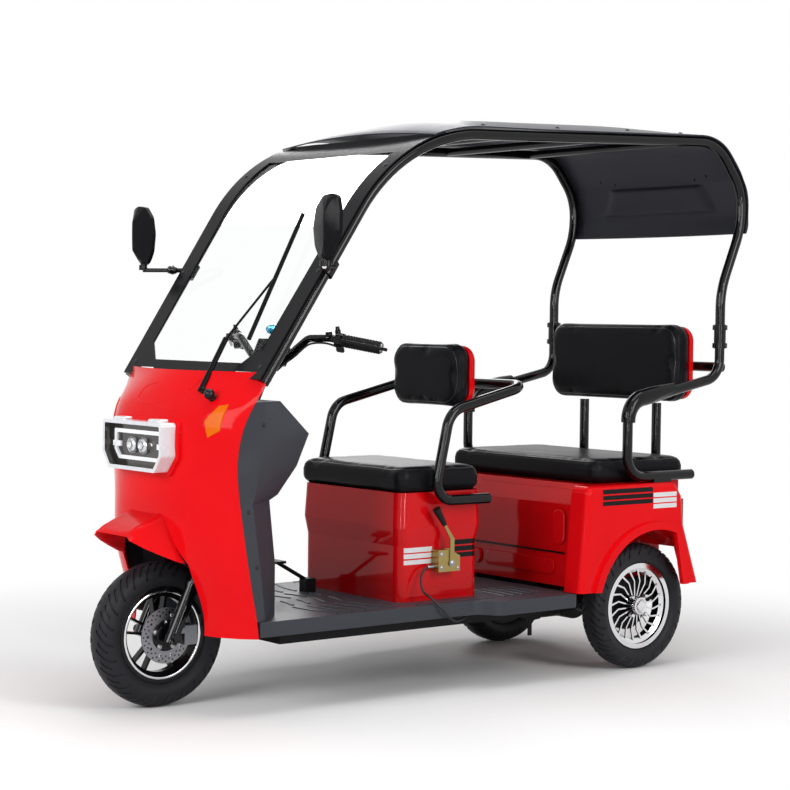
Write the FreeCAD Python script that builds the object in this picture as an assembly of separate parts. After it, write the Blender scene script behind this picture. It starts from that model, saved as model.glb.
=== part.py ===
"""Electric passenger tricycle with a bent tube roof, one front wheel and two rear wheels.

Millimetres. X points to the vehicle's left, Y to its rear, Z up; the floor is Z = 0.
Places along Y are written rearward from the front axle, and at() moves them into the
part's frame, whose origin is the middle of the overall box on the floor.
"""
import FreeCAD, Part
import math
import os

os.makedirs("parts", exist_ok=True)

Vector = FreeCAD.Vector

# Stance
WHEELBASE = 1586.0
HALF_TRACK = 322.0
FRONT_TYRE_R = 207.5
REAR_TYRE_R = 201.0
TYRE_HALF_W = 42.0
TYRE_WALL = 9.0
RIM_R = 137.0
RIM_HALF_W = 30.0
RIM_WALL = 5.0
BEAD_DEPTH = 10.0
WELL_DEPTH = 24.0
HUB_R = 30.0

# Clearances shared by every fit
SEAT_GAP = 0.3
PIN_GAP = 0.5
MOVE_GAP = 5.0
OVERRUN = 40.0

# Steering
RAKE_DEG = 25.0
AXIS_BACK = 20.0
LEG_X = 80.0
LEG_R = 20.0
STANCHION_R = 15.0
SLIDER_LENGTH = 150.0
CROWN_AT = 266.0
CROWN_THICK = 24.0
CROWN_DEPTH = 52.0
STEM_R = 16.0
STEM_TOP_AT = 852.0
AXLE_R = 7.0
AXLE_NUT_R = 13.0
AXLE_NUT_W = 12.0
HEAD_TUBE_AT = 306.0
HEAD_TUBE_LENGTH = 170.0
HEAD_TUBE_R = 27.0

# Front disc brake
DISC_R = 80.0
DISC_THICK = 4.0
DISC_X = 47.0
DISC_BORE_R = 24.0
DISC_HOLES = 10
DISC_HOLE_R = 4.5
CALIPER_HALF_Y = 21.0
CALIPER_HALF_Z = 28.0
CALIPER_JAW = 7.0

# Handlebar
BAR_R = 11.0
BAR_RISE_X = 175.0
BAR_GRIP_X = 243.0
BAR_END_X = 345.0
BAR_CLAMP_HALF = 45.0
GRIP_R = 17.0
GRIP_LENGTH = 112.0
SWITCH_LENGTH = 22.0
LEVER_LENGTH = 150.0
LEVER_R = 5.0

# Front cowl, a moulded skin
COWL_HALF_W = 365.0
COWL_BOTTOM_Z = 222.0
COWL_TOP_Z = 962.0
COWL_DEPTH = 180.0
COWL_FRONT_Y = -50.0
COWL_WALL = 4.0
ARCH_FOOT_X = 191.0
ARCH_SIDE_X = 176.0
ARCH_TOP_X = 92.0
ARCH_SIDE_Z = 424.0
ARCH_TOP_Z = 528.0

# Front mudguard
BROW_LIP_Y = -150.0
BROW_BACK_Y = 6.0
BROW_WALL = 4.0
BROW_LIP_HALF = 100.0
BROW_FOOT_HALF = 172.0
BROW_RIDGE_HALF = 82.0
BROW_LIP_Z = 489.0
BROW_LIP_TOP_Z = 508.0
BROW_FOOT_Z = 418.0
BROW_TOP_Z = 572.0

# Headlamp
LAMP_TOP_HALF = 158.0
LAMP_BASE_HALF = 124.0
LAMP_TOP_Z = 818.0
LAMP_WAIST_Z = 724.0
LAMP_BASE_Z = 678.0
LAMP_FRONT_Y = -90.0
LAMP_BACK_Y = -8.0
LAMP_RIM = 11.0
LAMP_RECESS = 30.0
LAMP_CORNER_R = 12.0
SOCKET_WIDTH = 12.0
SOCKET_PROUD = 9.0
RING_WIDTH = 11.0
RING_THICK = 6.0
RING_INSET = 16.0
LENS_R = 20.0
LENS_HEIGHT = 16.0
LENS_HALF_PITCH = 19.0

# Inner shield behind the cowl
SHIELD_TOP_Z = 880.0
SHIELD_BACK_Y = 355.0
SHIELD_WALL = 4.0
SHIELD_HALF_W = 345.0
TUNNEL_HALF_W = 62.0
TUNNEL_BACK_Y = 298.0
TUNNEL_TOP_Z = 668.0

# Windscreen and roof tubes
TUBE_R = 16.0
PILLAR_FOOT_X = 352.0
ROOF_REAR_X = 398.0
PILLAR_FOOT_Y = 116.0
PILLAR_FOOT_Z = 932.0
ROOF_FRONT_Y = 592.0
ROOF_FRONT_Z = 1649.0
ROOF_REAR_Y = 1983.0
ROOF_REAR_Z = 1697.0
ROOF_FRONT_BEND_R = 540.0
ROOF_REAR_BEND_R = 150.0
ROOF_SWAN_BEND_R = 260.0
COUPLING_Y = 1893.0
COUPLING_Z = 1066.0
COUPLING_R = 19.5
COUPLING_LENGTH = 78.0
SCREEN_AHEAD = TUBE_R + 2 * SEAT_GAP
SCREEN_WALL = 4.0
SCREEN_STRIP = 66.0
SCREEN_HALF_W = 383.0
SCREEN_FOOT_Z = 940.0
SCREEN_SILL_Z = 985.0
SCREEN_CORNER = 62.0
GLASS_WALL = 3.0
GLASS_LAP = 18.0

# Roof panel
PANEL_WALL = 4.0
PANEL_CROWN = 46.0
PANEL_FLAP_CROWN = 10.0
PANEL_STATIONS = 32

# Floor and chassis
FLOOR_TOP_Z = 268.0
FLOOR_THICK = 43.0
FLOOR_SKIN = 6.0
FLOOR_FRONT_Y = 130.0
FLOOR_STEP_Y = 960.0
FLOOR_REAR_Y = 1285.0
FLOOR_HALF_W = 330.0
FLOOR_WIDE_HALF_W = 392.0
FLOOR_CORNER_R = 40.0
RAIL_X = 220.0
RAIL_W = 30.0
RAIL_H = 42.0
RAIL_FRONT_Y = 262.0
RAIL_REAR_Y = 1850.0
RAIL_KICK_Y = 1330.0
FRAME_TUBE_R = 16.0

CARRIER_BOLT_R = 4.5
CARRIER_BOLT_X = 300.0
CARRIER_BOLT_Z = 20.0

# Driver's box
BOX_FRONT_Y = 688.0
BOX_REAR_Y = 1000.0
BOX_HALF_W = 252.0
BOX_TOP_Z = 595.0
BOX_CREASE_Z = 490.0
BOX_SHELF_Z = 436.0
BOX_PROUD = 8.0
BOX_FALL_SHARE = 0.6
BOX_CORNER_R = 34.0
BOX_WALL = 4.0
CUSHION_THICK = 72.0
CUSHION_ROUND = 20.0
CUSHION_OVER = 14.0
CUSHION_AHEAD = 16.0

# Driver's backrest and arm loop
ARM_R = 16.0
ARM_X = 290.0
ARM_LOW_Z = 571.0
ARM_OPEN_Y = 993.0
ARM_UP_Y = 777.0
ARM_SHOULDER_Y = 838.0
ARM_SHOULDER_Z = 838.0
ARM_LOOP_Z = 912.0
ARM_LOOP_Y = 1145.0
ARM_FOOT_BEND_R = 58.0
ARM_SHOULDER_BEND_R = 76.0
ARM_BACK_BEND_R = 64.0
BACK_HALF_W = 172.0
BACK_LOW_Z = 836.0
BACK_TOP_Z = 1044.0
BACK_FRONT_Y = 972.0
BACK_PAD_THICK = 52.0
BACK_COVER_THICK = 34.0
BACK_CORNER_R = 62.0
BACK_COVER_INSET = 13.0

# Passenger box, fenders and seat
REAR_BOX_FRONT_Y = 1283.0
REAR_BOX_REAR_Y = 1765.0
REAR_BOX_HALF_W = 345.0
REAR_BOX_BASE_Z = 282.0
REAR_BOX_TOP_Z = 600.0
REAR_BOX_BEVEL = 62.0
REAR_BOX_WALL = 4.0
WELL_R = 252.0
WELL_INNER_X = 262.0
FENDER_WIDTH = 75.0
FENDER_FRONT_Y = 1262.0
FENDER_LENGTH = 530.0
FENDER_BASE_Z = 270.0
FENDER_WALL = 4.0
FENDER_ROUND = 26.0
FLARE_WIDTH = 25.0
FLARE_PROUD = 12.0
ARCH_LEG_Y = 1706.0
ARCH_LEG_LEAN = 34.0
ARCH_LEG_RISE = 164.0
REAR_CUSHION_OVER = 17.0
REAR_CUSHION_TAIL = 29.0
REAR_CUSHION_HALF_W = REAR_BOX_HALF_W + REAR_CUSHION_OVER
REAR_CUSHION_FRONT_Y = 1376.0
REAR_CUSHION_REAR_Y = REAR_BOX_REAR_Y + REAR_CUSHION_TAIL
REAR_LID_LAP = 24.0
REAR_BACK_HALF_W = 312.0
REAR_BACK_LOW_Z = 842.0
REAR_BACK_TOP_Z = 1110.0
REAR_BACK_FRONT_Y = 1792.0
REAR_PAD_THICK = 64.0
REAR_COVER_THICK = 32.0
REAR_CROSS_Z = 966.0
POST_X = 173.0
POST_Y = 1835.0
REAR_ARM_FRONT_Y = 1487.0
REAR_ARM_TOP_Z = 853.0
REAR_ARM_LOW_Z = 620.0
REAR_ARM_END_Y = 1778.0
REAR_ARM_RISE = 82.0
REAR_ARM_IN = 10.0
REAR_ARM_BEND_R = 70.0
REAR_ARM_FOOT_HALF = 38.0
ARM_PAD_LENGTH = 196.0
ARM_PAD_DROP = 62.0
ARM_PAD_R = 21.0
ARM_PAD_LIFT = 4.0

# Rear axle and springs
AXLE_TUBE_R = 24.0
DRUM_R = 82.0
DRUM_W = 26.0
GEARCASE_R = 78.0
GEARCASE_HALF_W = 52.0
MOTOR_R = 72.0
MOTOR_LENGTH = 170.0
SPRING_W = 45.0
SPRING_THICK = 20.0
SPRING_HALF = 178.0
SPRING_SAG = 46.0
EYE_R = 17.0
REAR_SPOKES = 20
FRONT_SPOKE_PAIRS = 5

# Small fittings
PLATE_WALL = 4.0
TAIL_LAMP_HALF_H = 42.0
TAIL_LAMP_W = 34.0
TAIL_LAMP_DEPTH = 16.0
BRAKE_BOX_Y = 852.0
BRAKE_BOX_Z = 388.0
BRAKE_BOX_HALF_Y = 42.0
BRAKE_BOX_HALF_Z = 33.0
BRAKE_BOX_OUT = 34.0
LEVER_BAR_W = 16.0
LEVER_GRIP_R = 11.0
CABLE_R = 3.5
WIPER_X = 185.0
WIPER_Y = 20.0
WIPER_Z = 906.0
WIPER_KNEE_X = 156.0
WIPER_KNEE_Y = 122.0
WIPER_KNEE_Z = 1050.0
BLADE_LOW_X = 243.0
BLADE_LOW_Y = 142.0
BLADE_LOW_Z = 1052.0
BLADE_TOP_X = 162.0
BLADE_TOP_Y = 382.0
BLADE_TOP_Z = 1412.0
MIRROR_X = 478.0
MIRROR_Y = 232.0
MIRROR_LOW_Z = 1270.0
MIRROR_TOP_Z = 1452.0
MIRROR_HALF_W = 52.0
MIRROR_DEPTH = 26.0

# The overall box runs from the front tyre to the roof panel's rear flap.
TAIL_Y = ROOF_REAR_Y + TUBE_R + SEAT_GAP + PANEL_WALL + PANEL_FLAP_CROWN
AXLE_Y = 0.5 * (FRONT_TYRE_R - TAIL_Y)
FENDER_OUT_X = REAR_BOX_HALF_W + FENDER_WIDTH
FENDER_REAR_Y = FENDER_FRONT_Y + FENDER_LENGTH
RAKE = math.radians(RAKE_DEG)
FRONT_HUB = (0.0, 0.0, FRONT_TYRE_R)
REAR_HUB_Y = WHEELBASE
REAR_HUB_Z = REAR_TYRE_R
FLOOR_BASE_Z = FLOOR_TOP_Z - FLOOR_THICK
RAIL_KICK_RISE = REAR_BOX_BASE_Z - FLOOR_BASE_Z
PILLAR_SLOPE = (ROOF_FRONT_Z - PILLAR_FOOT_Z) / (ROOF_FRONT_Y - PILLAR_FOOT_Y)
REAR_COVER_BACK_Y = REAR_BACK_FRONT_Y + REAR_PAD_THICK + REAR_COVER_THICK + SEAT_GAP


def at(x, y, z):
    """Point at x, at y behind the front axle and at height z."""
    return Vector(x, y + AXLE_Y, z)


def mirrored(shape):
    """The same shape on the vehicle's other side."""
    return shape.mirror(Vector(0, 0, 0), Vector(1, 0, 0))


def both_sides(shape):
    """A left shape and its right twin, as two solids."""
    return Part.makeCompound([shape, mirrored(shape)])


def rounded_edges(points, radii, closed):
    """Straight runs through points, with a tangent arc of the given radius at each corner."""
    count = len(points)
    starts, ends, arcs = list(points), list(points), [None] * count
    corners = range(count) if closed else range(1, count - 1)
    for i in corners:
        radius = radii[i] if isinstance(radii, (list, tuple)) else radii
        if radius <= 0:
            continue
        corner = points[i]
        back = (points[i - 1] - corner).normalize()
        ahead = (points[(i + 1) % count] - corner).normalize()
        half_inside = back.getAngle(ahead) / 2
        reach = radius / math.tan(half_inside)
        middle = (back + ahead).normalize() * (radius / math.sin(half_inside) - radius)
        starts[i] = corner + back * reach
        ends[i] = corner + ahead * reach
        arcs[i] = Part.Arc(starts[i], corner + middle, ends[i]).toShape()
    edges = []
    for i in range(count if closed else count - 1):
        if arcs[i] is not None:
            edges.append(arcs[i])
        following = (i + 1) % count
        edges.append(Part.makeLine(ends[i], starts[following]))
    return edges


def path(points, radii):
    """Open wire of straight runs and tangent arcs."""
    return Part.Wire(rounded_edges(points, radii, False))


def outline(points, radii=0):
    """Closed face with rounded corners."""
    return Part.Face(Part.Wire(rounded_edges(points, radii, True)))


def tube(points, radii, radius):
    """Round tube along straight runs and bends."""
    spine = path(points, radii)
    ring = Part.Wire(Part.makeCircle(radius, points[0], points[1] - points[0]))
    return spine.makePipeShell([ring], True, False)


def rod(start, end, radius):
    """Straight round bar between two points."""
    run = end - start
    return Part.makeCylinder(radius, run.Length, start, run)


def block(x0, x1, y0, y1, z0, z1):
    """Plain box between two corners."""
    return Part.makeBox(x1 - x0, y1 - y0, z1 - z0, at(x0, y0, z0))


def side_plate(points_yz, x0, x1, radii=0):
    """Plate cut to a side-view outline and reaching from x0 to x1."""
    face = outline([at(x0, y, z) for y, z in points_yz], radii)
    return face.extrude(Vector(x1 - x0, 0, 0))


def front_plate(points_xz, y0, y1, radii=0):
    """Plate cut to a front-view outline and reaching from y0 to y1."""
    face = outline([at(x, y0, z) for x, z in points_xz], radii)
    return face.extrude(Vector(0, y1 - y0, 0))


def plan_plate(points_xy, z0, z1, radii=0):
    """Plate cut to a top-view outline and reaching from z0 to z1."""
    face = outline([at(x, y, z0) for x, y in points_xy], radii)
    return face.extrude(Vector(0, 0, z1 - z0))


def rectangle(a0, a1, b0, b1):
    """Corners of a rectangle in two directions."""
    return [(a0, b0), (a1, b0), (a1, b1), (a0, b1)]


def on_steering_axis(distance, x=0.0):
    """Point at a distance up the steering axis from wheel-centre height."""
    rise = Vector(0, math.sin(RAKE), math.cos(RAKE)) * distance
    return at(x, AXIS_BACK, FRONT_TYRE_R) + rise


STEER_UP = Vector(0, math.sin(RAKE), math.cos(RAKE))


def save(shape, name):
    """Write one sub-part and report what it holds."""
    solids = Part.makeCompound(shape.Solids)
    solids.exportStep("parts/" + name + ".step")
    print(name, len(solids.Solids), "solids", round(solids.Volume), "mm3", solids.isValid())


# Tyres and wheels

# Half width and height of the tyre's outer corners, as shares of its half width and its
# height above the rim, from the sidewall's foot to the tread.
TYRE_SHARES = ((0.98, 0.30), (0.96, 0.66), (0.72, 0.90), (0.26, 1.0))


def tyre(radius):
    """Hollow tyre about X at the frame's origin, open towards the rim."""
    bead_x = RIM_HALF_W - RIM_WALL - SEAT_GAP
    bead_r = RIM_R - BEAD_DEPTH + SEAT_GAP
    foot_r = RIM_R + SEAT_GAP
    height = radius - foot_r
    outer = [(bead_x, bead_r), (bead_x, foot_r)]
    outer += [(u * TYRE_HALF_W, foot_r + v * height) for u, v in TYRE_SHARES]
    inner = [(bead_x - TYRE_WALL, bead_r), (TYRE_HALF_W - 1.6 * TYRE_WALL, radius - 1.5 * TYRE_WALL)]
    loop = outer + [(-x, r) for x, r in reversed(outer)] + [(-x, r) for x, r in inner] + inner[::-1]
    section = Part.Face(Part.makePolygon([Vector(x, 0, r) for x, r in loop + loop[:1]]))
    return section.revolve(Vector(0, 0, 0), Vector(1, 0, 0), 360)


def rim_barrel():
    """Rim ring with two flanges, bead seats and a drop centre."""
    seat_r = RIM_R - BEAD_DEPTH
    well_r = RIM_R - WELL_DEPTH
    half = RIM_HALF_W
    outer = [(half, RIM_R), (half - RIM_WALL, RIM_R), (half - RIM_WALL, seat_r),
             (half * 0.5, seat_r), (half * 0.35, well_r)]
    inner = [(half * 0.35 + RIM_WALL * 0.3, well_r - RIM_WALL), (half * 0.5 + RIM_WALL, seat_r - RIM_WALL),
             (half, seat_r - RIM_WALL)]
    loop = outer + [(-x, r) for x, r in reversed(outer)]
    loop += [(-x, r) for x, r in reversed(inner)] + inner
    section = Part.Face(Part.makePolygon([Vector(x, 0, r) for x, r in loop + loop[:1]]))
    return section.revolve(Vector(0, 0, 0), Vector(1, 0, 0), 360)


def spoke_outline(points_yz, thick_in, thick_out):
    """Flat arm cut to an outline in the wheel's plane, centred on X."""
    face = outline([Vector(-thick_in, y, z) for y, z in points_yz])
    return face.extrude(Vector(thick_in + thick_out, 0, 0))


def turned(shape, degrees):
    """Copy turned about the wheel's spin axis."""
    copy = shape.copy()
    copy.rotate(Vector(0, 0, 0), Vector(1, 0, 0), degrees)
    return copy


def front_rim():
    """Cast front wheel with paired straight spokes and a bored hub."""
    reach = RIM_R - WELL_DEPTH - RIM_WALL * 0.5
    arm_w, root, spread = HUB_R * 0.24, HUB_R * 0.14, HUB_R * 0.62
    arms = []
    for pair in range(FRONT_SPOKE_PAIRS):
        for side in (-1, 1):
            near, far = side * root, side * spread
            foot = HUB_R * 0.8
            points = [(near, foot), (near + side * arm_w, foot), (far + side * arm_w, reach), (far, reach)]
            arm = spoke_outline(points, RIM_HALF_W * 0.36, RIM_HALF_W * 0.36)
            arms.append(turned(arm, 360.0 * pair / FRONT_SPOKE_PAIRS))
    hub = Part.makeCylinder(HUB_R, 2 * RIM_HALF_W, Vector(-RIM_HALF_W, 0, 0), Vector(1, 0, 0))
    bore = Part.makeCylinder(AXLE_R + PIN_GAP, 4 * RIM_HALF_W, Vector(-2 * RIM_HALF_W, 0, 0), Vector(1, 0, 0))
    wheel = rim_barrel().multiFuse([hub] + arms).cut(bore)
    boss = Part.makeCylinder(DISC_BORE_R - SEAT_GAP, DISC_X - RIM_HALF_W, Vector(RIM_HALF_W, 0, 0),
                             Vector(1, 0, 0))
    return wheel.fuse(boss.cut(bore)).removeSplitter()


def rear_rim():
    """Rear wheel with a dish of thin curved spokes near its outer face."""
    reach = RIM_R - BEAD_DEPTH - RIM_WALL * 0.6
    middle = 0.5 * (HUB_R + reach)
    lean, width = HUB_R * 0.5, HUB_R * 0.16
    face_x = RIM_HALF_W * 0.35
    arms = []
    for index in range(REAR_SPOKES):
        points = [(0.0, HUB_R * 0.8), (width, HUB_R * 0.8), (lean + width, middle),
                  (width * 1.6, reach), (0.0, reach), (lean, middle)]
        arm = spoke_outline(points, -face_x, face_x + RIM_WALL)
        arms.append(turned(arm, 360.0 * index / REAR_SPOKES))
    hub = Part.makeCylinder(HUB_R, 1.6 * RIM_HALF_W, Vector(-0.6 * RIM_HALF_W, 0, 0), Vector(1, 0, 0))
    cap_at = Vector(RIM_HALF_W, 0, 0)
    cap = Part.makeCone(HUB_R * 0.72, HUB_R * 0.6, RIM_HALF_W * 0.3, cap_at, Vector(1, 0, 0))
    bore = Part.makeCylinder(AXLE_R + PIN_GAP, 1.5 * RIM_HALF_W, Vector(-RIM_HALF_W, 0, 0), Vector(1, 0, 0))
    return rim_barrel().multiFuse([hub, cap] + arms).cut(bore).removeSplitter()


def placed(shape, x, y, z):
    """Wheel shape moved from the origin to its hub."""
    copy = shape.copy()
    copy.translate(at(x, y, z))
    return copy


def brake_disc():
    """Drilled disc on the front hub's boss."""
    disc = Part.makeCylinder(DISC_R, DISC_THICK, Vector(DISC_X - DISC_THICK, 0, 0), Vector(1, 0, 0))
    bore = Part.makeCylinder(DISC_BORE_R, OVERRUN, Vector(DISC_X - OVERRUN * 0.5, 0, 0), Vector(1, 0, 0))
    cuts = [bore]
    ring_r = 0.5 * (DISC_R + DISC_BORE_R) + DISC_HOLE_R * 1.6
    for index in range(DISC_HOLES):
        angle = 2 * math.pi * index / DISC_HOLES
        start = Vector(DISC_X - OVERRUN * 0.5, ring_r * math.cos(angle), ring_r * math.sin(angle))
        cuts.append(Part.makeCylinder(DISC_HOLE_R, OVERRUN, start, Vector(1, 0, 0)))
    return disc.cut(Part.makeCompound(cuts))


# Steered parts

def fork():
    """Two telescopic legs, the lower crown, the stem and the front axle."""
    pieces = []
    offset = at(0, 0, FRONT_TYRE_R) - on_steering_axis(-AXIS_BACK * math.sin(RAKE))
    for side in (-1, 1):
        foot = on_steering_axis(-AXIS_BACK * math.sin(RAKE), side * LEG_X) + offset
        slider_top = foot + STEER_UP * SLIDER_LENGTH
        crown = foot + STEER_UP * (CROWN_AT + CROWN_THICK)
        pieces.append(rod(foot - STEER_UP * LEG_R, slider_top, LEG_R))
        pieces.append(rod(slider_top, slider_top + STEER_UP * LEG_R * 0.6, LEG_R * 1.15))
        pieces.append(rod(slider_top, crown, STANCHION_R))
    crown = Part.makeBox(2 * LEG_X + 2.6 * LEG_R, CROWN_DEPTH, CROWN_THICK,
                         Vector(-LEG_X - 1.3 * LEG_R, -CROWN_DEPTH * 0.62, 0))
    crown.rotate(Vector(0, 0, 0), Vector(1, 0, 0), -RAKE_DEG)
    crown.translate(on_steering_axis(CROWN_AT))
    stem = rod(on_steering_axis(CROWN_AT), on_steering_axis(STEM_TOP_AT), STEM_R)
    axle = rod(at(-LEG_X - LEG_R, 0, FRONT_TYRE_R), at(LEG_X + LEG_R, 0, FRONT_TYRE_R), AXLE_R)
    nuts = [rod(at(side * (LEG_X + LEG_R * 0.8), 0, FRONT_TYRE_R),
                at(side * (LEG_X + LEG_R + AXLE_NUT_W), 0, FRONT_TYRE_R), AXLE_NUT_R) for side in (-1, 1)]
    return pieces[0].multiFuse(pieces[1:] + [crown, stem, axle] + nuts).removeSplitter()


def caliper():
    """Two-jaw caliper behind the left fork leg, astride the disc."""
    x_in = DISC_X - DISC_THICK - MOVE_GAP - CALIPER_JAW
    x_out = LEG_X - LEG_R * 0.2
    y_mid = DISC_R * 0.82
    body = block(x_in, x_out, y_mid - CALIPER_HALF_Y, y_mid + CALIPER_HALF_Y,
                 FRONT_TYRE_R - CALIPER_HALF_Z, FRONT_TYRE_R + CALIPER_HALF_Z)
    slot = Part.makeCylinder(DISC_R + MOVE_GAP, DISC_THICK + 2 * MOVE_GAP,
                             at(DISC_X - DISC_THICK - MOVE_GAP, 0, FRONT_TYRE_R), Vector(1, 0, 0))
    hanger = block(DISC_X + MOVE_GAP, x_out, LEG_R * 0.5, y_mid, FRONT_TYRE_R + CALIPER_HALF_Z * 0.2,
                   FRONT_TYRE_R + CALIPER_HALF_Z * 0.8)
    foot = at(LEG_X, 0, FRONT_TYRE_R)
    leg = rod(foot - STEER_UP * 2 * LEG_R, foot + STEER_UP * SLIDER_LENGTH, LEG_R + SEAT_GAP)
    return body.fuse(hanger).cut(slot).cut(leg).removeSplitter()


def bar_points(side):
    """Half of the handlebar from its clamp outwards: it rises, then sweeps back to the grip."""
    clamp = on_steering_axis(STEM_TOP_AT - BAR_R)
    rise = BAR_RISE_X * 0.48
    sweep = BAR_END_X - BAR_GRIP_X
    return [
        clamp,
        clamp + Vector(side * BAR_CLAMP_HALF, 0, 0),
        clamp + Vector(side * BAR_RISE_X, rise * 0.25, rise),
        clamp + Vector(side * BAR_GRIP_X, rise * 0.55, rise * 1.02),
        clamp + Vector(side * BAR_END_X, rise * 0.55 + sweep * 0.95, rise * 0.72),
    ]


def bar_tube(radius):
    """Handlebar's bent tube from end to end."""
    points = list(reversed(bar_points(-1)))[:-1] + bar_points(1)[1:]
    bends = [0, 3 * BAR_R, 4 * BAR_R, 3 * BAR_R, 3 * BAR_R, 4 * BAR_R, 3 * BAR_R, 0]
    return tube(points, bends, radius)


def handlebar():
    """Bent bar through a clamp on the stem."""
    bar = bar_tube(BAR_R)
    clamp_at = on_steering_axis(STEM_TOP_AT - BAR_R)
    cap = Part.makeBox(2 * STEM_R + BAR_R, 2 * STEM_R + BAR_R, 3 * BAR_R,
                       Vector(-STEM_R - BAR_R * 0.5, -STEM_R - BAR_R * 0.5, -1.5 * BAR_R))
    cap.rotate(Vector(0, 0, 0), Vector(1, 0, 0), -RAKE_DEG)
    cap.translate(clamp_at)
    stem = rod(on_steering_axis(HEAD_TUBE_AT), on_steering_axis(STEM_TOP_AT), STEM_R)
    return bar.fuse(cap).cut(stem).removeSplitter()


def grips():
    """Rubber grips over the bar ends with a switch block, lever clamp and lever on each."""
    pieces = []
    for side in (-1, 1):
        inner, outer = bar_points(side)[3], bar_points(side)[4]
        core = rod(inner, outer, BAR_R + SEAT_GAP)
        along = (outer - inner).normalize()
        end = outer + along * BAR_R * 0.8
        start = end - along * GRIP_LENGTH
        grip = rod(start, end, GRIP_R)
        block_end = start
        switch = rod(block_end - along * SWITCH_LENGTH, block_end, GRIP_R * 1.25)
        ahead = along.cross(Vector(0, 0, side)).normalize()
        pivot = block_end - along * GRIP_R * 0.8 + ahead * GRIP_R * 1.5
        arm = rod(block_end - along * GRIP_R * 0.8, pivot + ahead * LEVER_R, GRIP_R * 0.7)
        blade = rod(pivot, pivot + along * LEVER_LENGTH + ahead * GRIP_R * 0.9, LEVER_R)
        pieces.append(grip.multiFuse([switch, arm, blade]).cut(core).removeSplitter())
    return Part.makeCompound(pieces)


def instrument_pod():
    """Meter housing on the bar clamp, leaning back with the stem."""
    half = BAR_CLAMP_HALF * 1.05
    depth = 2.6 * STEM_R
    pod = outline([Vector(-half, -depth, 0), Vector(half, -depth, 0), Vector(half * 0.8, depth, 0),
                   Vector(-half * 0.8, depth, 0)], STEM_R * 0.9).extrude(Vector(0, 0, half * 1.1))
    pod.rotate(Vector(0, 0, 0), Vector(1, 0, 0), -RAKE_DEG)
    pod.translate(on_steering_axis(STEM_TOP_AT - BAR_R) + STEER_UP * (BAR_R * 1.5 + SEAT_GAP))
    return pod


# Front bodywork

# Each row of the cowl: height, half width, edge and centre places along Y, all as shares of
# the cowl's own sizes, and the power that rounds the row between centre and edge.
COWL_ROW_SHARES = (
    (0.00, 0.904, 0.967, 0.440, 4.5),
    (0.15, 0.904, 0.860, 0.370, 4.5),
    (0.31, 0.904, 0.735, 0.130, 4.0),
    (0.46, 0.904, 0.630, 0.030, 2.8),
    (0.60, 0.904, 0.556, 0.000, 2.2),
    (0.73, 0.912, 0.575, 0.010, 2.7),
    (0.86, 0.948, 0.740, 0.110, 2.8),
    (1.00, 1.000, 0.983, 0.460, 1.7),
)
COWL_ACROSS_SHARES = (-1.0, -0.8, -0.5, 0.0, 0.5, 0.8, 1.0)


def cowl_band(out, inn):
    """Skin between two offsets ahead of and behind the cowl's surface."""
    wires = []
    for z_share, w_share, edge_share, mid_share, power in COWL_ROW_SHARES:
        z = COWL_BOTTOM_Z + z_share * (COWL_TOP_Z - COWL_BOTTOM_Z)
        half = w_share * COWL_HALF_W
        mid = COWL_FRONT_Y + mid_share * COWL_DEPTH
        span = (edge_share - mid_share) * COWL_DEPTH
        curves = []
        for offset in (out, inn):
            points = [at(s * (half - offset), mid + span * abs(s) ** power + offset, z)
                      for s in COWL_ACROSS_SHARES]
            curve = Part.BSplineCurve()
            curve.interpolate(points)
            curves.append((curve.toShape(), points))
        (front, front_points), (back, back_points) = curves
        wires.append(Part.Wire([front, Part.makeLine(front_points[-1], back_points[-1]), back,
                                Part.makeLine(back_points[0], front_points[0])]))
    return Part.makeLoft(wires, True, False)


def arch_cut():
    """Wheel opening through the cowl, from the leg shields' inner edges up to the mudguard."""
    half = [(ARCH_FOOT_X, COWL_BOTTOM_Z - OVERRUN), (ARCH_SIDE_X, ARCH_SIDE_Z), (ARCH_TOP_X, ARCH_TOP_Z)]
    points = half + [(-x, z) for x, z in reversed(half)]
    return front_plate(points, COWL_FRONT_Y - 2 * OVERRUN, COWL_FRONT_Y + COWL_DEPTH + 2 * OVERRUN)


def lamp_outline(grow, y0, y1):
    """Solid of the headlamp's six-sided outline, grown or shrunk all round."""
    half = [(LAMP_BASE_HALF + grow * 0.6, LAMP_BASE_Z - grow),
            (LAMP_TOP_HALF + grow, LAMP_WAIST_Z - grow * 0.3), (LAMP_TOP_HALF + grow, LAMP_TOP_Z + grow)]
    points = half + [(-x, z) for x, z in reversed(half)]
    return front_plate(points, y0, y1, max(LAMP_CORNER_R + grow, LAMP_CORNER_R * 0.4))


SIGNAL_SHARES = ((0.699, 0.755), (0.781, 0.781), (0.795, 0.880), (0.734, 0.873), (0.666, 0.816))


def signal_prism(grow):
    """Turn signal's outline as a prism through the cowl, on the left."""
    height = COWL_TOP_Z - COWL_BOTTOM_Z
    points = [(u * COWL_HALF_W, COWL_BOTTOM_Z + v * height) for u, v in SIGNAL_SHARES]
    middle_x = sum(p[0] for p in points) / len(points)
    middle_z = sum(p[1] for p in points) / len(points)
    grown = []
    for x, z in points:
        reach = math.hypot(x - middle_x, z - middle_z)
        scale = 1 + grow / reach
        grown.append((middle_x + (x - middle_x) * scale, middle_z + (z - middle_z) * scale))
    return front_plate(grown, COWL_FRONT_Y - OVERRUN, COWL_FRONT_Y + COWL_DEPTH)


def pillar_foot(grow):
    """Straight lower run of the left roof tube."""
    top_z = PILLAR_FOOT_Z + 2 * OVERRUN
    top_y = PILLAR_FOOT_Y + 2 * OVERRUN / PILLAR_SLOPE
    foot = at(roof_x(PILLAR_FOOT_Y), PILLAR_FOOT_Y, PILLAR_FOOT_Z)
    return rod(foot, at(roof_x(top_y), top_y, top_z), TUBE_R + grow)


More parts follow.
